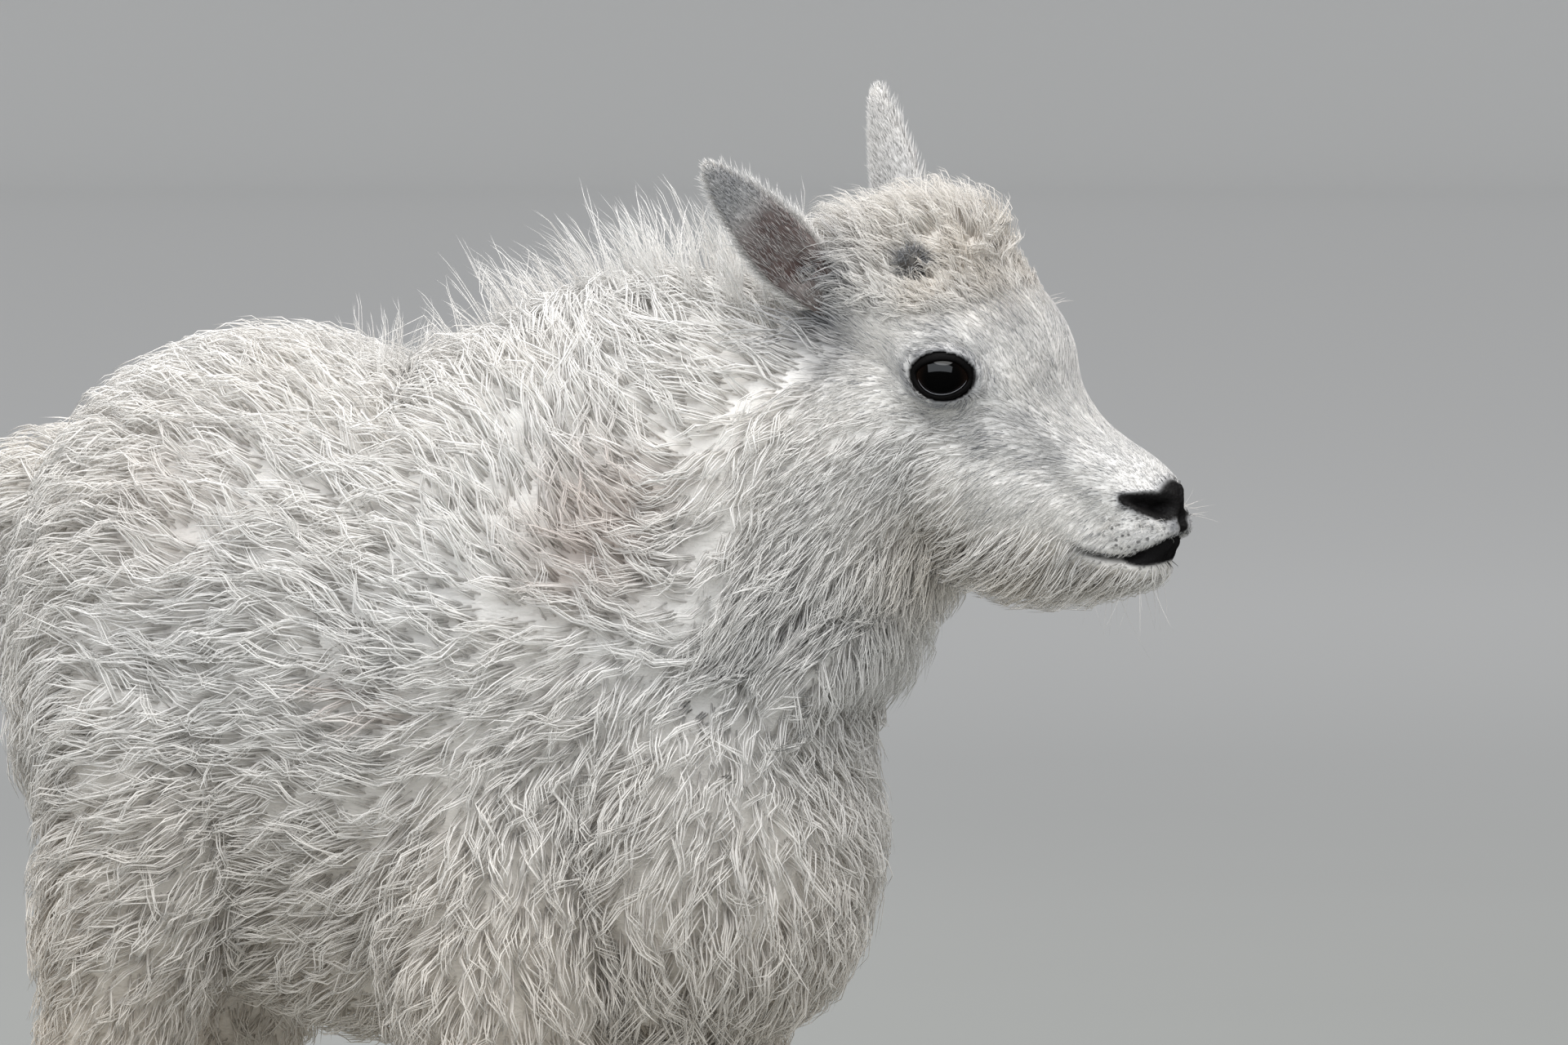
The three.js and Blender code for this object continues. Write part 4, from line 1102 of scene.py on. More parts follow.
def coat_mesh(name, sections, tips, uv, along, around, strand, shares, material):
    """Many closed tapered bodies as one mesh.

    sections (n, rings, sides, 3) and tips (n, 3) in metres; along (rings,) and around (sides,)
    place each point in its body's small patch of the unwrap; strand (n, 2) is random.
    """
    count, rings, sides, _ = sections.shape
    per = rings * sides + 1
    points = np.concatenate([sections.reshape(count, rings * sides, 3), tips[:, None]], 1).reshape(-1, 3)
    template = [(k + 1, k, 0) for k in range(1, sides - 1)]
    for k in range(sides):
        n = (k + 1) % sides
        for r in range(rings - 1):
            a, b = r * sides + k, r * sides + n
            template += [(a, b, b + sides), (a, b + sides, a + sides)]
        template.append(((rings - 1) * sides + k, (rings - 1) * sides + n, rings * sides))
    faces = (np.array(template)[None] + np.arange(count)[:, None, None] * per).reshape(-1, 3)
    mesh = bpy.data.meshes.new(name)
    mesh.vertices.add(len(points))
    mesh.vertices.foreach_set("co", points.astype(np.float32).ravel())
    mesh.loops.add(len(faces) * 3)
    mesh.loops.foreach_set("vertex_index", faces.astype(np.int32).ravel())
    mesh.polygons.add(len(faces))
    mesh.polygons.foreach_set("loop_start", np.arange(0, len(faces) * 3, 3, dtype=np.int32))
    mesh.polygons.foreach_set("use_smooth", np.ones(len(faces), bool))
    mesh.update()
    mesh.validate()
    u = np.concatenate([np.tile(around, rings), [0.5]])
    v = np.concatenate([np.repeat(along, sides), [1.0]])
    patch = (np.stack([u, v], 1) - 0.5) * PATCH
    placed = np.clip(uv[:, None, :] + patch[None], 0, 1).reshape(-1, 2)
    layer = mesh.uv_layers.new(name="OFBake")
    layer.data.foreach_set("uv", placed[faces.ravel()].astype(np.float32).ravel())
    own = np.stack([np.repeat(strand[:, 0], per), np.tile(v, count), np.tile(u, count)], 1)
    attribute = mesh.attributes.new("strand", "FLOAT_VECTOR", "POINT")
    attribute.data.foreach_set("vector", own.astype(np.float32).ravel())
    paint_marks(mesh, np.repeat(shares, per, 0))
    piece = bpy.data.objects.new(name, mesh)
    bpy.context.scene.collection.objects.link(piece)
    mesh.materials.append(material)
    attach(piece, "root")
    return piece




def coat_pieces(name, sections, tips, uv, along, around, strand, shares, material, regions=None):
    """Parts the bodies by region and by size, and makes a mesh of each part."""
    if regions is None:
        regions = np.full(len(tips), name)
    _, rings, sides, _ = sections.shape
    each = (rings - 1) * sides * 2 + 2 * sides - 2
    for region in sorted(set(regions)):
        members = np.nonzero(regions == region)[0]
        parts = math.ceil(len(members) * each / LARGEST)
        for part, chosen in enumerate(np.array_split(members, parts)):
            label = region + (f"_{part + 1}" if parts > 1 else "")
            coat_mesh(label, sections[chosen], tips[chosen], uv[chosen], along, around, strand[chosen],
                      shares[chosen], material)


def tubes(rings, widths, spin):
    """Three-sided sections round each strand: rings (n, r, 3), the last being the tip."""
    tangent = unit(np.gradient(rings, axis=1))
    reference = np.broadcast_to(np.array([0.13, 0.97, 0.21]), tangent.shape)
    side = unit(np.cross(tangent, reference))
    up = np.cross(side, tangent)
    angles = np.array([0, 2, 4]) * math.pi / 3 + spin[:, None] * 6.28
    c, s = np.cos(angles)[:, None, :, None], np.sin(angles)[:, None, :, None]
    half = (widths / 2)[:, :, None, None]
    return rings[:, :-1, None, :] + half * (side[:, :-1, None, :] * c + up[:, :-1, None, :] * s)


HAIR_AROUND = np.array([0.0, 0.5, 1.0])


def hair_pieces(name, rings, widths, uv, rng, shares, material, regions=None, tone=None):
    """Single hairs: rings (n, r, 3) in metres and widths (n, r - 1) in metres."""
    count, stations, _ = rings.shape
    strand = np.stack([rng.random(count) if tone is None else tone, rng.random(count)], 1)
    sections = tubes(rings, widths, rng.random(count))
    along = np.arange(stations - 1) / (stations - 1)
    coat_pieces(name, sections, rings[:, -1], uv, along, HAIR_AROUND, strand, shares, material, regions)


LONG_STATIONS = (0.0, 0.25, 0.5, 0.75, 1.0)  # shares of its length where a long hair bends


def comb(skin, rng, points, normals, lengths, depth, width, per_lock, radius, clump, stray=0.2, frizz=0.4,
         wave=0.0, turns=0.9, bend=0.0, lift=0.0, fly=0.0, layers=(0.5, 1.1), stations=(0.0, 0.34, 0.68, 1.0),
         rises=(-0.2, 0.62, 0.98, 1.0)):
    """Hairs in locks laid along the skin; returns their rings, widths and owners.

    All sizes are mm, for each lock or for all. The hairs of a lock start within its radius and
    draw together towards its tip by the share clump. Each lock waves in so many turns and bends
    sideways and lifts its tip, each hair frizzes and keeps to its layer, and a few fly loose.
    """
    count = len(points)
    each = (radius, width, wave, bend, lift)
    radius, width, wave, bend, lift = (np.broadcast_to(value, count)[:, None] for value in each)
    feet, outs, ways = walk(skin, points, normals, lengths, stations, rng, stray)
    sides = unit(np.cross(outs, ways))
    t = np.array(stations)
    phase = rng.random((count, 1)) * 6.28 + t * turns * 6.28
    sway = wave * np.sin(phase) * t ** 0.7 + rng.normal(0, 1, (count, 1)) * bend * t ** 2
    tips = rng.normal(0, 1, (count, 1)) * lift * t ** 2 + 0.5 * wave * np.cos(phase) * t ** 0.7
    owner = np.repeat(np.arange(count), per_lock)
    total = len(owner)
    gather = 1 - clump * t ** 0.8
    angle = rng.random((total, 1)) * 6.28
    away = np.sqrt(rng.random((total, 1))) * radius[owner]
    loose = rng.random((total, 1)) ** 4 * fly
    frizzed = rng.normal(0, 1, (total, len(t))) * (frizz + 0.4 * loose) * t
    across = away * np.cos(angle) * gather + sway[owner] + frizzed
    behind = away * np.sin(angle) * gather * 0.7 - rng.random((total, 1)) * 0.25 * lengths[owner][:, None] * t
    layer = rng.uniform(*layers, (total, 1))
    height = depth[owner][:, None] * np.array(rises) * layer + tips[owner] + loose * t ** 2
    height[:, 0] = -0.5
    rings = feet[owner] + sides[owner] * (across / 1000)[..., None] + ways[owner] * (behind / 1000)[..., None]
    rings = rings + outs[owner] * (height / 1000)[..., None]
    widths = width[owner] * np.linspace(1.2, 0.6, len(t) - 1) * rng.uniform(0.7, 1.3, (total, 1)) / 1000
    return rings, widths, owner


def wool_regions(points):
    """Where a root stands, as the first part of its piece's name."""
    x, y, z = points.T
    names = np.where(z < 235, "legs", np.where(x < -70, "rump", np.where(x < 30, "flank", "shoulder")))
    names = np.where((x > 108) & (z > 300), "neck", names)
    return np.char.add(np.char.add(names, "_"), np.where(y < 0, "right", "left"))


def lock_spacing(points):
    """Between locks, mm: wide on the trunk, close on the legs, sparse where the legs hide the wool."""
    spacing = 3.7 + 1.7 * smoothstep(full_depth(points), 8, 20)
    hidden = (points[:, 2] < 240) & (np.abs(points[:, 1]) < 44) & (points[:, 0] > -80) & (points[:, 0] < 110)
    return np.where(hidden, spacing * 1.3, spacing)


class KID_OT_wool(bpy.types.Operator):
    """Wool of the trunk, neck and upper legs, in overlapping locks, and the crest of the withers"""
    bl_idname = "kid.wool"
    bl_label = "Wool"

    def execute(self, context):
        skin = finished_skin()
        rng = np.random.default_rng(41)
        points, normals = skin.scatter(rng, 2, lock_spacing)
        maker = unplace(points)
        share = smoothstep(full_depth(maker), 5, 22)
        depth = coat_depth(maker) * rng.uniform(0.76, 0.98, len(points))
        length = (13 + (sizes().wool_length * 1000 - 13) * share) * rng.uniform(0.75, 1.25, len(points))
        rings, widths, owner = comb(
            skin, rng, points, normals, length, depth, sizes().wool_width * 1000 * (0.75 + 0.25 * share),
            np.round(3 + 3 * share).astype(int), 1.9 + 1.7 * share, 0.6, stray=0.36, frizz=0.42,
            wave=0.5 + 1.2 * share, turns=1.3, bend=0.6 + 2.2 * share, lift=1.0 * share, fly=3.2,
            layers=(0.55, 1.12), stations=LONG_STATIONS, rises=(-0.15, 0.6, 0.98, 1.05, 0.95))
        tone = np.clip(0.55 * rng.random(len(points))[owner] + 0.45 * rng.random(len(owner)), 0, 1)
        regions = np.char.add("wool_", wool_regions(maker)[owner])
        material = strand_material("kid_wool", 0.97, 0.07)
        uv, shares = skin.uv_at(points)[owner], marks(maker)[owner]
        hair_pieces("wool", rings, widths, uv, rng, shares, material, regions, tone)
        self.crest(skin, rng, material)
        return {"FINISHED"}

    @staticmethod
    def crest(skin, rng, material):
        """Long loose hair that stands along the withers and the top of the neck."""
        points, normals = skin.scatter(rng, 2, lambda points: np.full(len(points), 2.6))
        x, y, z = unplace(points).T
        middle = 6.0 * np.sin(x / 31)
        kept = (x > CREST_FROM) & (x < CREST_TO) & (z > 400) & (np.abs(y - middle) < 20)
        kept &= rng.random(len(x)) < 0.16 + 0.16 * smoothstep(x, 0, 60)
        points, normals = points[kept], normals[kept]
        count = len(points)
        tall = smoothstep(unplace(points)[:, 0], -30, 40)
        depth = rng.uniform(18, 28, count) + 14 * tall * rng.random(count)
        rings, widths, owner = comb(
            skin, rng, points, normals, rng.uniform(6, 18, count), depth, 0.34, 6, 2.4, 0.7, stray=0.9,
            frizz=0.8, bend=3.0, fly=4.0, stations=LONG_STATIONS, rises=(-0.1, 0.42, 0.74, 0.96, 1.1))
        uv, shares = skin.uv_at(points)[owner], marks(unplace(points))[owner]
        hair_pieces("crest", rings, widths, uv, rng, shares, material)


BUD_HAIRS = 700  # on each horn bud
EAR_HAIRS = 8500  # tried on each ear


class KID_OT_crown(bpy.types.Operator):
    """The cap of fluffy wool between the ears, thinning down the forehead"""
    bl_idname = "kid.crown"
    bl_label = "Crown"

    def execute(self, context):
        skin = finished_skin()
        rng = np.random.default_rng(43)
        points, normals = skin.scatter(
            rng, 3, lambda places: 1.4 + 1.15 * smoothstep(crown_rise(to_head(places)), 0.1, 0.6))
        count = len(points)
        head = to_head(unplace(points))
        share = crown_rise(head)
        low = 1 - 0.72 * bell(from_buds(head), 0, 8.5)
        depth = (2.2 + (CROWN_DEPTH * 0.9 - 2.2) * share * rng.uniform(0.8, 1.1, count)) * low
        length = (8.5 + 3 * share) * rng.uniform(0.8, 1.2, count) * (0.5 + 0.5 * low)
        rings, widths, owner = comb(
            skin, rng, points, normals, length, depth, 0.37, np.round(4 + 3 * share).astype(int),
            1.3 + 0.8 * share, 0.5, stray=0.4, frizz=0.35 + 0.2 * share.mean(), wave=0.3 + 1.1 * share,
            bend=0.6 + 1.2 * share, lift=0.4 + 0.8 * share, fly=1.6, rises=(-0.1, 0.66, 1.0, 1.02))
        tone = np.clip(0.6 * rng.random(count)[owner] + 0.4 * rng.random(len(owner)), 0, 1)
        material = strand_material("kid_crown", 0.94, 0.08)
        uv, shares = skin.uv_at(points)[owner], marks(unplace(points))[owner]
        hair_pieces("crown", rings, widths, uv, rng, shares, material, None, tone)
        for word in ("left", "right"):
            self.bud_hair(skin, rng, material, word)
        return {"FINISHED"}

    @staticmethod
    def bud_hair(skin, rng, material, word):
        """Short dark hair that stands all over a horn bud."""
        bud = bpy.data.objects[f"horn_bud_{word}_finished"]
        at, out = scattered_on(bud, rng, BUD_HAIRS)
        up = normals_of(bud.data).mean(0)
        way = unit(out + 0.5 * rng.normal(0, 1, (len(at), 3)) + 0.2 * up)
        size = rng.uniform(2.4, 5.2, len(at))
        t = np.array([-0.1, 0.5, 1.0])
        curl = rng.normal(0, 0.5, (len(at), 3))
        course = way[:, None] * t[:, None] + curl[:, None] * (t ** 2)[:, None]
        rings = at[:, None] + course * size[:, None, None] / 1000
        shares = np.zeros((len(at), 4))
        shares[:, 0] = rng.uniform(0.55, 1, len(at))
        shares[:, 2] = rng.uniform(0.1, 0.75, len(at))
        widths = np.full((len(at), 2), 0.00034) * np.array([1.0, 0.7])
        hair_pieces(f"bud_hair_{word}", rings, widths, skin.uv_at(at), rng, shares, material)


class KID_OT_hair(bpy.types.Operator):
    """Short flat hair of the face and longer hair of the cheeks, jaw, throat and shanks"""
    bl_idname = "kid.hair"
    bl_label = "Hair"

    def execute(self, context):
        skin = finished_skin()
        rng = np.random.default_rng(47)
        material = strand_material("kid_hair", 0.95, 0.08)
        self.short(skin, rng, material)
        self.long(skin, rng, material)
        return {"FINISHED"}

    @staticmethod
    def short(skin, rng, material):
        """Single flat hairs of the face, with dark ones among them near the eyes and the lip."""
        points, normals = skin.scatter(rng, 0, lambda points: np.full(len(points), 0.9), evenly=False)
        maker = unplace(points)
        head = to_head(maker)
        muzzle = smoothstep(head[:, 0], 38, 66)
        near_eye, at_rim = np.zeros(len(points)), np.zeros(len(points))
        for side in (-1, 1):
            u, v, w = seen_along_eye(head, side)
            near_eye = np.maximum(near_eye, bell(np.hypot(u, v), 0, 16) * (w > -6))
            at_rim = np.maximum(at_rim, (np.hypot(u / 11.5, v / 8.7) < 1.22) * (w > -3))
        length = sizes().face_hair * 1000 * (1 - 0.55 * muzzle) * (1 - 0.45 * near_eye)
        height, fade = mouth_reach(head)
        length *= 1 - 0.5 * bell(height, 0, 3.6) * fade
        chin = smoothstep(head[:, 0], 50, 66) * (1 - smoothstep(height, -7, -2))
        length *= rng.uniform(0.75, 1.25, len(points))
        rings, widths, _ = comb(
            skin, rng, points, normals, length * (1 - 0.3 * chin),
            0.75 + 0.5 * (coat_depth(maker) - 1.2) + 1.3 * chin, 0.31 - 0.06 * muzzle, 1, 0.0, 0.0,
            stray=0.16, frizz=0.12, stations=(0.0, 0.5, 1.0), rises=(-0.3, 0.85, 1.0))
        halves = np.where(head[:, 1] < 0, "face_hair_right", "face_hair_left")
        shares = marks(maker)
        lip = muzzle * (1 - smoothstep(height, 10, 14)) * (height > 0)
        dark = 0.05 + 0.14 * near_eye + 0.4 * at_rim + 0.25 * shares[:, 0] + 0.22 * lip
        shares[:, 2] = rng.random(len(points)) < 1.2 * shares[:, 2]
        flecked = rng.random(len(points)) < dark
        shares[flecked, 0] = np.maximum(shares[flecked, 0], rng.uniform(0.55, 1, flecked.sum()))
        hair_pieces("face_hair", rings, widths, skin.uv_at(points), rng, shares, material, halves)

    @staticmethod
    def long(skin, rng, material):
        """Small locks of the cheeks, jaw and throat, and coarser ones of the shanks."""
        points, normals = skin.scatter(rng, 1, lambda places: np.where(places[:, 2] < LOWEST_TUFT, 3.0, 2.25))
        maker = unplace(points)
        shank = maker[:, 2] < LOWEST_TUFT
        depth = np.maximum(coat_depth(maker), 1.6)
        length = np.where(shank, 10.0, 9 + 1.0 * depth) * rng.uniform(0.8, 1.25, len(points))
        per_lock = np.where(shank, 2, 3)
        rings, widths, owner = comb(
            skin, rng, points, normals, length, depth, np.where(shank, 0.62, 0.46), per_lock, 1.9, 0.5,
            stray=0.22, frizz=0.5, bend=0.6, lift=0.5)
        names = np.where(shank, "shank_hair_", "cheek_hair_")
        names = np.char.add(names, np.where(maker[:, 1] < 0, "right", "left"))
        uv, shares = skin.uv_at(points)[owner], marks(maker)[owner]
        hair_pieces("cheek_hair", rings, widths, uv, rng, shares, material, names[owner])


# Tufts of whiskers on each side: how many, then root and way (forward, out, up) and length, each a
# number or a range, in the head's frame
WHISKERS = [
    (26, ((52, 74), (6, 20), (-58, -51)), ((0.1, 0.9), 1.0, (-0.1, 0.45)), (8, 19)),  # upper lip
    (9, ((36, 72), (1, 14), (-90, -78)), ((-0.1, 0.7), 0.4, -1.0), (10, 24)),  # chin
    (6, ((6, 14), (26, 34), (14, 24)), ((0.3, 0.9), 0.9, (0.1, 0.6)), (7, 13)),  # brow
]


class KID_OT_whiskers(bpy.types.Operator):
    """Whiskers of the lips and chin, and long hairs of the brows"""
    bl_idname = "kid.whiskers"
    bl_label = "Whiskers"

    def execute(self, context):
        skin = finished_skin()
        rng = np.random.default_rng(53)

        def drawn(span):
            return rng.uniform(*span) if isinstance(span, tuple) else span

        roots, ways, lengths = [], [], []
        for side in (-1, 1):
            for count, root, way, length in WHISKERS:
                for _ in range(count):
                    roots.append([drawn(span) for span in root])
                    ways.append([drawn(span) for span in way])
                    lengths.append(drawn(length))
                    roots[-1][1] *= side
                    ways[-1][1] *= side
        at, out = skin.nearest(place(from_head(roots)))
        height, _ = mouth_reach(to_head(unplace(at)))
        haired = (marks(unplace(at))[:, 2] < 0.2) & ((height < -6) | (height > 6))
        ways, lengths = unit(np.array(ways, float))[haired], np.array(lengths)[haired]
        at, out = at[haired], out[haired]
        count = len(at)
        way = unit(ways @ HEAD_AXES.T * 0.8 + out)
        t = np.linspace(0, 1, 6)
        sag = np.array([0, 0, -1.0]) + rng.normal(0, 0.8, (count, 1, 3))
        rings = (at[:, None] + way[:, None] * (lengths[:, None] * t)[..., None] / 1000
                 + sag * (lengths[:, None] * 0.24 * t ** 2)[..., None] / 1000)
        widths = np.full((count, 5), 0.00018) * np.array([1, 0.9, 0.8, 0.65, 0.45])
        shares = np.zeros((count, 4))
        shares[:, 1] = 0.35
        material = strand_material("kid_whisker", 0.9, 0.2, 0.5)
        hair_pieces("whiskers", rings, widths, skin.uv_at(at), rng, shares, material)
        return {"FINISHED"}


# The ears: root and tip in the head's frame, and the way that the cup looks
EARS = {
    -1: (on_head(-63, -31, 6), np.array([-82.0, -66.0, 80.0]), np.array([0.35, -0.85, 0.2])),
    1: (on_head(-52, 32, 10), np.array([-77.0, 59.0, 96.0]), np.array([0.45, 0.85, -0.1])),
}


def ear_frame(side):
    """Root, direction, length and the way that the cup looks, in the maker's frame."""
    root, tip, faces = EARS[side]
    root, tip, faces = from_head(root), from_head(tip), faces @ HEAD_AXES.T
    along = unit(tip - root)
    return root, along, np.linalg.norm(tip - root), unit(faces - along * (faces @ along))


def in_cup(normals, front):
    """1 in the cup of an ear, 0 on its back."""
    return smoothstep(normals @ front, 0.0, 0.5)


class KID_OT_ears(bpy.types.Operator):
    """The two ears, rounded from the solid leaves, with hair on the back, rim and cup"""
    bl_idname = "kid.ears"
    bl_label = "Ears"

    def execute(self, context):
        rng = np.random.default_rng(59)
        material = strand_material("kid_ear_hair", 0.92, 0.12)
        leather = self.leather()
        for side, word in ((-1, "right"), (1, "left")):
            ear = copy_of(f"ear_{word}", f"ear_leaf_{word}")
            apply_modifier(ear, "SUBSURF", levels=1, render_levels=1)
            ear.data.remesh_voxel_size = EAR_VOXEL
            choose(ear)
            bpy.ops.object.voxel_remesh()
            apply_modifier(ear, "SMOOTH", factor=0.5, iterations=6)
            bpy.ops.object.shade_smooth()
            root, along, length, front = ear_frame(side)
            up = (unplace(points_of(ear.data)) - root) @ along / length
            ear.data.materials.append(leather)
            paint_marks(ear.data, self.ear_marks(up, in_cup(normals_of(ear.data), front)))
            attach(ear, "root")
            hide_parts(f"ear_{word}")
            self.hair(ear, rng, material, word, root, along, length, front)
        return {"FINISHED"}

    @staticmethod
    def ear_marks(up, inside):
        """Grey back and dark cup, paler at the tip; up runs from root to tip."""
        back = 0.3 + 0.14 * np.sin(up * 7) * (1 - inside) * 0.4
        back = back * (1 - smoothstep(up, 0.84, 0.96)) * (1 - inside)
        cup = 0.55 * inside * smoothstep(up, 0.45, 0.7) * (1 - smoothstep(up, 0.88, 1))
        earth = inside * (1 - smoothstep(up, 0.5, 0.72)) * 0.9
        none = np.zeros(len(up))
        return np.stack([np.clip(back + cup, 0, 1), none, none, earth], 1)

    @staticmethod
    def leather():
        """Skin of the ear: the markings, duller and darker in the cup."""
        material, tree, surface = new_material("kid_ear_skin", 0.7, 0.3)
        feed(surface["Base Color"], marked_colour(tree, Earth=(0.085, 0.052, 0.046, 1)))
        feed(surface["Normal"], bumped(tree, noise(tree, 700.0), 0.4, 0.0004))
        return material

    def hair(self, ear, rng, material, word, root, along, length, front):
        """Hair that points to the tip, longer and looser on the rim, sparse in the cup."""
        at, out = scattered_on(ear, rng, EAR_HAIRS)
        from_root = unplace(at) - root
        inside = in_cup(out, front)
        up = from_root @ along / length
        off_middle = from_root @ np.cross(along, front)
        rim = bell(out @ front, 0, 0.45) * (np.abs(off_middle) > 3)
        kept = (rng.random(EAR_HAIRS) > 0.72 * inside * (1 - smoothstep(up, 0.5, 0.8))) & (up > -0.02)
        at, out, inside, up, rim = at[kept], out[kept], inside[kept], up[kept], rim[kept]
        count = len(at)
        way = unit(along + 0.16 * rng.normal(0, 1, (count, 3)) + out * (0.12 + 0.5 * rim)[:, None])
        size = rng.uniform(3.2, 5.6, count) * (1 + 0.6 * rim) * (1 - 0.35 * smoothstep(up, 0.7, 1))
        t = np.array([0, 0.5, 1.0])
        lift = np.array([-0.3, 0.5, 0.55])
        course = way[:, None] * (size[:, None] * t)[..., None] / 1000
        rings = at[:, None] + course + out[:, None] * lift[:, None] / 1000
        widths = np.full((count, 2), 0.00028) * np.array([1.0, 0.8])
        shares = self.ear_marks(up, inside)
        shares[:, 3] *= 0.22
        shares[:, 0] = np.maximum(shares[:, 0], 0.85 * inside * rng.uniform(0.3, 1.1, count))
        shares[:, 0] *= 1 - 0.8 * rim
        uv = Unwrap(ear, 0.2).uv_at(at)
        hair_pieces(f"ear_hair_{word}", rings, widths, uv, rng, shares, material)


def copy_of(node_name, name):
    """A merged copy of one of the model's solids, as a new object."""
    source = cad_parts[node_name]
    copy = bpy.data.objects.new(name, source.data.copy())
    bpy.context.scene.collection.objects.link(copy)
    copy.data.materials.clear()
    with editing(copy):
        bpy.ops.mesh.remove_doubles(threshold=0.00002)
        bpy.ops.mesh.normals_make_consistent(inside=False)
    return copy


def lid_band(name, side, angles, inset, lift, section, sides, least):
    """A rounded band on the eyeball along the lids' edge, in mm of the head's frame.

    It runs through the angles, set in from the outer edge of the rim by inset (along, high), and
    lift over the eyeball. section gives half its width and half its thickness at each angle and
    share of its run. A whole turn of angles closes on itself, and least holds its height up.
    """
    centre, along, above, out = eye_axes(side)
    long, high = EYE_OPENING[0] + EYE_RIM - inset[0], EYE_OPENING[1] + EYE_RIM - inset[1]
    reach = sizes().eye_radius * 1000 + lift
    count = len(angles)
    closed = angles[-1] - angles[0] > 1.5 * math.pi
    points, faces = [], []
    for i, angle in enumerate(angles):
        u, v = almond(angle, long, high)
        way = along * u + above * v + out * math.sqrt(max(reach ** 2 - u * u - v * v, least))
        normal = unit(way)
        outward = unit(along * u + above * v)
        outward = unit(outward - normal * (outward @ normal))
        wide, thick = section(angle, i / (count - 1))
        for k in range(sides):
            a = 2 * math.pi * k / sides
            points.append(centre + way + outward * math.cos(a) * wide + normal * math.sin(a) * thick)
    for i in range(count if closed else count - 1):
        j = (i + 1) % count
        for k in range(sides):
            m = (k + 1) % sides
            faces.append((i * sides + k, i * sides + m, j * sides + m, j * sides + k))
    if not closed:
        faces += [tuple(range(sides))[::-1], tuple((count - 1) * sides + k for k in range(sides))]
    band = mesh_of(name, place(from_head(np.array(points))), faces)
    with editing(band):
        bpy.ops.mesh.normals_make_consistent(inside=False)
    bpy.ops.object.shade_smooth()
    return band


class KID_OT_eyes(bpy.types.Operator):
    """Glossy dark eyeballs with a bulging cornea, the bare black rims of the lids and their wet edge"""
    bl_idname = "kid.eyes"
    bl_label = "Eyes"

    def execute(self, context):
        surface = self.wet_eye()
        for side, word in ((-1, "right"), (1, "left")):
            centre, _, _, out = eye_axes(side)
            radius = sizes().eye_radius
            bpy.ops.mesh.primitive_uv_sphere_add(
                segments=64, ring_count=40, radius=radius, location=(0, 0, 0))
            eye = bpy.context.active_object
            eye.name = f"eyeball_{word}"
            points = points_of(eye.data)
            facing = points @ (out @ HEAD_AXES.T) / radius
            points *= (1 + 0.035 * smoothstep(facing, 0.78, 1.0))[:, None]
            set_points(eye.data, points + place(from_head(centre)))
            choose(eye)
            bpy.ops.object.shade_smooth()
            depth = eye.data.attributes.new("facing", "FLOAT", "POINT")
            depth.data.foreach_set("value", facing.astype(np.float32))
            eye.data.materials.append(surface)
            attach(eye, "root")
            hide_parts(f"eye_{word}")
            self.rim(side, word)
            self.tear_line(side, word)
        return {"FINISHED"}

    @staticmethod
    def wet_eye():
        """Wet black-brown with a faint brown iris ring."""
        material, tree, surface = new_material("kid_eye", 0.04, 0.5)
        ring = ranged(tree, painted(tree, "facing")["Fac"], 0.62, 0.9)
        brown = mix_colour(tree, noise(tree, 700.0, 4.0), (0.006, 0.004, 0.003, 1), (0.014, 0.008, 0.006, 1))
        feed(surface["Base Color"], mix_colour(tree, ring, brown, (0.002, 0.002, 0.002, 1)))
        return material

    @staticmethod
    def rim(side, word):
        """A soft rounded band round the opening, thicker above."""
        def section(angle, _):
            return EYE_RIM * (0.76 + 0.2 * math.sin(angle)), 0.8
        angles = [2 * math.pi * i / 96 for i in range(96)]
        lid = lid_band(f"lid_rim_{word}", side, angles, (1.0, 1.0), 0.35, section, 10, 9.0)
        material, tree, surface = new_material(f"kid_lid_{word}", 0.6, 0.08)
        tone = mix_colour(tree, noise(tree, 600.0), (0.002, 0.002, 0.002, 1), (0.006, 0.005, 0.005, 1))
        feed(surface["Base Color"], tone)
        feed(surface["Normal"], bumped(tree, noise(tree, 1500.0, 2.0), 0.35, 0.0003))
        lid.data.materials.append(material)
        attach(lid, "root")

    @staticmethod
    def tear_line(side, word):
        """The thin wet line where the lower lid meets the eyeball."""
        def section(_, share):
            thick = 0.24 * math.sqrt(max(math.sin(math.pi * share), 0.02))
            return thick, thick
        angles = [math.pi * (1.10 + 0.86 * i / 39) for i in range(40)]
        line = lid_band(f"tear_line_{word}", side, angles, (2.5, 2.35), 0.42, section, 8, 0.0)
        material, tree, surface = new_material(f"kid_tear_{word}", 0.22, 0.9)
        tone = mix_colour(tree, noise(tree, 300.0, 2.0), (0.05, 0.05, 0.055, 1), (0.10, 0.10, 0.11, 1))
        feed(surface["Base Color"], tone)
        line.data.materials.append(material)
        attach(line, "root")


CLAW_BAND = 2.6  # height of a growth band of a claw, mm


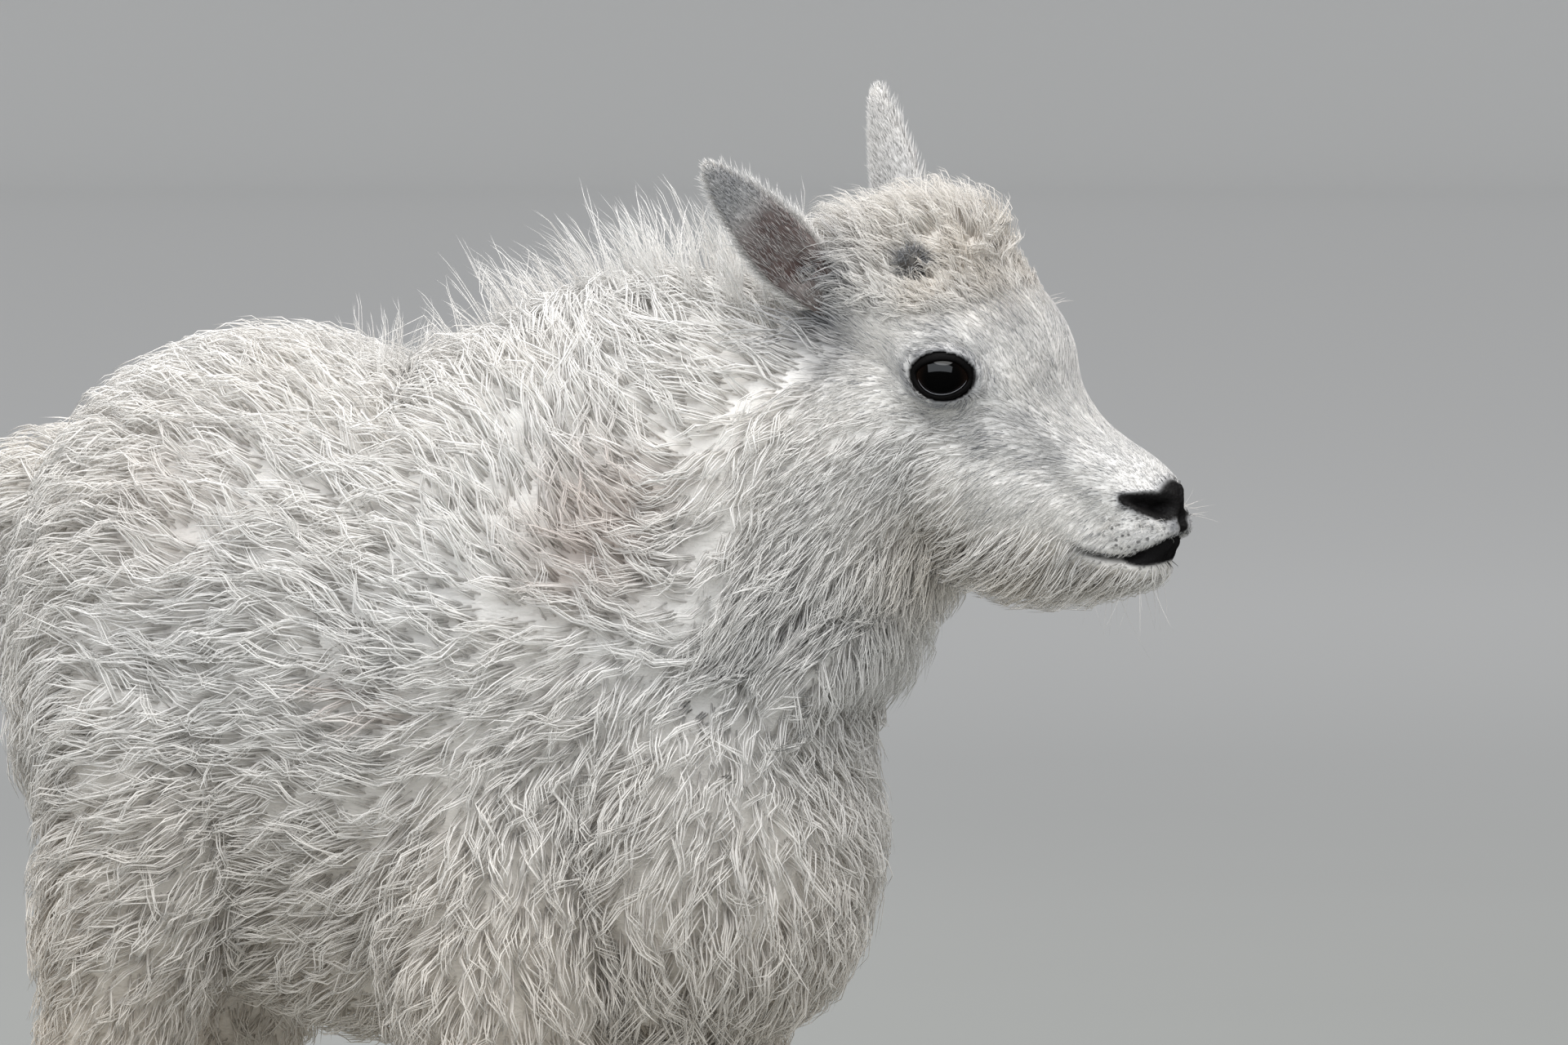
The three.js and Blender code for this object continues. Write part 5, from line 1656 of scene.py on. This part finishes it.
class KID_OT_horns_and_hoofs(bpy.types.Operator):
    """The horn buds under their dark hair, and the eight claws of the hoofs"""
    bl_idname = "kid.horns_and_hoofs"
    bl_label = "Horn buds and hoofs"

    def execute(self, context):
        horn = self.keratin("kid_horn", (0.05, 0.045, 0.042), (0.14, 0.125, 0.11), 60.0)
        hoof = self.keratin("kid_hoof", (0.018, 0.016, 0.015), (0.075, 0.062, 0.05), 45.0)
        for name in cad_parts:
            if not name.startswith(("horn_bud", "claw")):
                continue
            claw = name.startswith("claw")
            piece = copy_of(name, name + "_finished")
            apply_modifier(piece, "BEVEL", width=0.0007 if claw else 0.0012, segments=2, limit_method="ANGLE",
                           angle_limit=math.radians(30))
            apply_modifier(piece, "SUBSURF", levels=2, render_levels=2)
            if claw:
                points = points_of(piece.data)
                floor = points[:, 2].min()
                band = np.sin((points[:, 2] - floor) * 1000 / CLAW_BAND * 6.28) * 0.00010
                outward = unit((points - points.mean(0)) * (1, 1, 0))
                points += outward * (band * smoothstep(points[:, 2] * 1000, 2, 5))[:, None]
                points[:, 2] -= floor
                set_points(piece.data, points)
            choose(piece)
            bpy.ops.object.shade_smooth_by_angle(angle=math.radians(40))
            piece.data.materials.append(hoof if claw else horn)
            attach(piece, "root")
            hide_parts(name)
        return {"FINISHED"}

    @staticmethod
    def keratin(name, dark, light, scale):
        """Horn in thin layers, one over the other."""
        material, tree, surface = new_material(name, 0.45, 0.4)
        layers = stretched(tree, (1, 1, 8))
        tone = mix_colour(tree, noise(tree, scale, 5.0, layers), rgba(dark), rgba(light))
        feed(surface["Base Color"], tone)
        feed(surface["Normal"], bumped(tree, noise(tree, scale * 8, 3.0, layers), 0.35, 0.0005))
        return material


# Camera and stage. The photograph is 1920 by 1280; the near eye stands at this pixel of it
PHOTO_SIZE = (1920, 1280)
NEAR_EYE_PIXEL = (1152, 463)
NEAR_EYE_POINT = (223.0, -42.0, 446.0)  # maker's frame
MM_PER_PIXEL = 0.295
CAMERA_AZIMUTH = 24.0
CAMERA_ELEVATION = 3.0
CAMERA_DISTANCE = 5.0

# The floor, in metres: rings of the flat part, then the bend up to its raised edge
FLOOR_RINGS = (1.0, 2.5, 5.0, 9.0, 14.0, 18.0)
FLOOR_BEND = 1.4
FLOOR_EDGE = 2.0

# Lights: name, place, what it looks at, width, height, watts and colour
SKY = ("sky", (0.4, -0.6, 3.0), (0, 0, 0.3), 4.0, 4.0, 110, (1, 0.995, 0.985))
WINDOW = ("window", (0.6, -2.7, 2.0), (0.2, 0, 0.42), 7.0, 2.0, 66, (0.88, 0.94, 1))
BACK = ("back", (-1.6, 2.0, 2.2), (0, 0, 0.4), 1.6, 1.6, 16, (1, 0.98, 0.95))
ROOM_COLOUR, ROOM_LIGHT = (0.98, 0.98, 1, 1), 0.5


class KID_OT_stage(bpy.types.Operator):
    """A wide round floor, soft studio light, and the camera at the photograph's angle"""
    bl_idname = "kid.stage"
    bl_label = "Stage"

    def execute(self, context):
        self.camera()
        self.floor()
        self.lights()
        return {"FINISHED"}

    @staticmethod
    def camera():
        azimuth, elevation = math.radians(CAMERA_AZIMUTH), math.radians(CAMERA_ELEVATION)
        back = np.array([math.sin(azimuth) * math.cos(elevation), -math.cos(azimuth) * math.cos(elevation),
                         math.sin(elevation)])
        right = np.array([math.cos(azimuth), math.sin(azimuth), 0])
        up = np.cross(back, right)
        step = MM_PER_PIXEL / 1000
        target = (place(NEAR_EYE_POINT) + right * (PHOTO_SIZE[0] / 2 - NEAR_EYE_PIXEL[0]) * step
                  + up * (NEAR_EYE_PIXEL[1] - PHOTO_SIZE[1] / 2) * step)
        data = bpy.data.cameras.new("camera")
        data.sensor_width = 36
        data.lens = 36 * CAMERA_DISTANCE / (PHOTO_SIZE[0] * step)
        data.dof.use_dof = False
        camera = bpy.data.objects.new("camera", data)
        bpy.context.scene.collection.objects.link(camera)
        turn = Matrix(np.stack([right, up, back], 1).tolist()).to_4x4()
        camera.matrix_world = Matrix.Translation(target + back * CAMERA_DISTANCE) @ turn
        bpy.context.scene.camera = camera

    @staticmethod
    def floor():
        profile = [(reach, 0.0) for reach in FLOOR_RINGS]
        for k in range(1, 13):
            a = math.pi / 2 * k / 12
            profile.append((FLOOR_RINGS[-1] + FLOOR_BEND * math.sin(a), FLOOR_BEND * (1 - math.cos(a))))
        profile.append((FLOOR_RINGS[-1] + FLOOR_BEND, FLOOR_EDGE))
        around = 96
        points, faces = [(0, 0, 0)], []
        for reach, height in profile:
            for k in range(around):
                a = 2 * math.pi * k / around
                points.append((reach * math.cos(a), reach * math.sin(a), height))
        for k in range(around):
            n = (k + 1) % around
            faces.append((0, 1 + k, 1 + n))
            for i in range(len(profile) - 1):
                first = 1 + i * around
                faces.append((first + k, first + around + k, first + around + n, first + n))
        floor = mesh_of("floor", np.array(points, float), faces)
        choose(floor)
        bpy.ops.object.shade_smooth()
        material, tree, surface = new_material("floor", 0.9, 0.2)
        near = mix_colour(tree, noise(tree, 1.3, 2.0), (0.31, 0.32, 0.31, 1), (0.35, 0.36, 0.35, 1))
        away = node(tree, "ShaderNodeVectorMath", {0: here(tree)}, operation="LENGTH").outputs["Value"]
        tone = mix_colour(tree, ranged(tree, away, 1.2, 6.5), near, (0.80, 0.81, 0.80, 1))
        feed(surface["Base Color"], tone)
        floor.data.materials.append(material)
        floor.visible_glossy = False

    @staticmethod
    def lights():
        for name, at, aim, width, height, watts, colour in (SKY, WINDOW, BACK):
            data = bpy.data.lights.new(name, "AREA")
            data.shape = "ELLIPSE" if width == height else "RECTANGLE"
            data.size, data.size_y = width, height
            data.energy = watts
            data.color = colour
            lamp = bpy.data.objects.new(name, data)
            bpy.context.scene.collection.objects.link(lamp)
            way = Vector(at) - Vector(aim)
            lamp.matrix_world = Matrix.Translation(at) @ way.to_track_quat("Z", "Y").to_matrix().to_4x4()
        world = bpy.data.worlds.new("studio")
        bpy.context.scene.world = world
        world.use_nodes = True
        background = world.node_tree.nodes["Background"]
        background.inputs[0].default_value = ROOM_COLOUR
        background.inputs[1].default_value = ROOM_LIGHT
        world.cycles_visibility.glossy = False
        bpy.context.scene.view_settings.view_transform = "Standard"


class KID_PT_panel(bpy.types.Panel):
    """Lists the pieces of the kid and its sizes"""
    bl_label = "Mountain goat kid"
    bl_idname = "KID_PT_panel"
    bl_space_type = "VIEW_3D"
    bl_region_type = "UI"
    bl_category = "Goat Kid"

    def draw(self, context):
        layout = self.layout
        for piece in PIECES:
            layout.operator(piece.bl_idname)
        for group in (context.scene.kid_sizes, context.scene.kid_colours):
            for key in group.__annotations__:
                layout.prop(group, key)


PIECES = (KID_OT_skin, KID_OT_eyes, KID_OT_ears, KID_OT_horns_and_hoofs, KID_OT_wool, KID_OT_crown,
          KID_OT_hair, KID_OT_whiskers, KID_OT_stage)
CLASSES = (KidSizes, KidColours) + PIECES + (KID_PT_panel,)


def register():
    for made in CLASSES:
        bpy.utils.register_class(made)
    bpy.types.Scene.kid_sizes = PointerProperty(type=KidSizes)
    bpy.types.Scene.kid_colours = PointerProperty(type=KidColours)


def unregister():
    del bpy.types.Scene.kid_sizes
    del bpy.types.Scene.kid_colours
    for made in reversed(CLASSES):
        bpy.utils.unregister_class(made)


def main():
    register()
    bpy.ops.kid.skin()
    bpy.ops.kid.eyes()
    bpy.ops.kid.ears()
    bpy.ops.kid.horns_and_hoofs()
    bpy.ops.kid.wool()
    bpy.ops.kid.crown()
    bpy.ops.kid.hair()
    bpy.ops.kid.whiskers()
    bpy.ops.kid.stage()


if __name__ == "__main__":
    main()
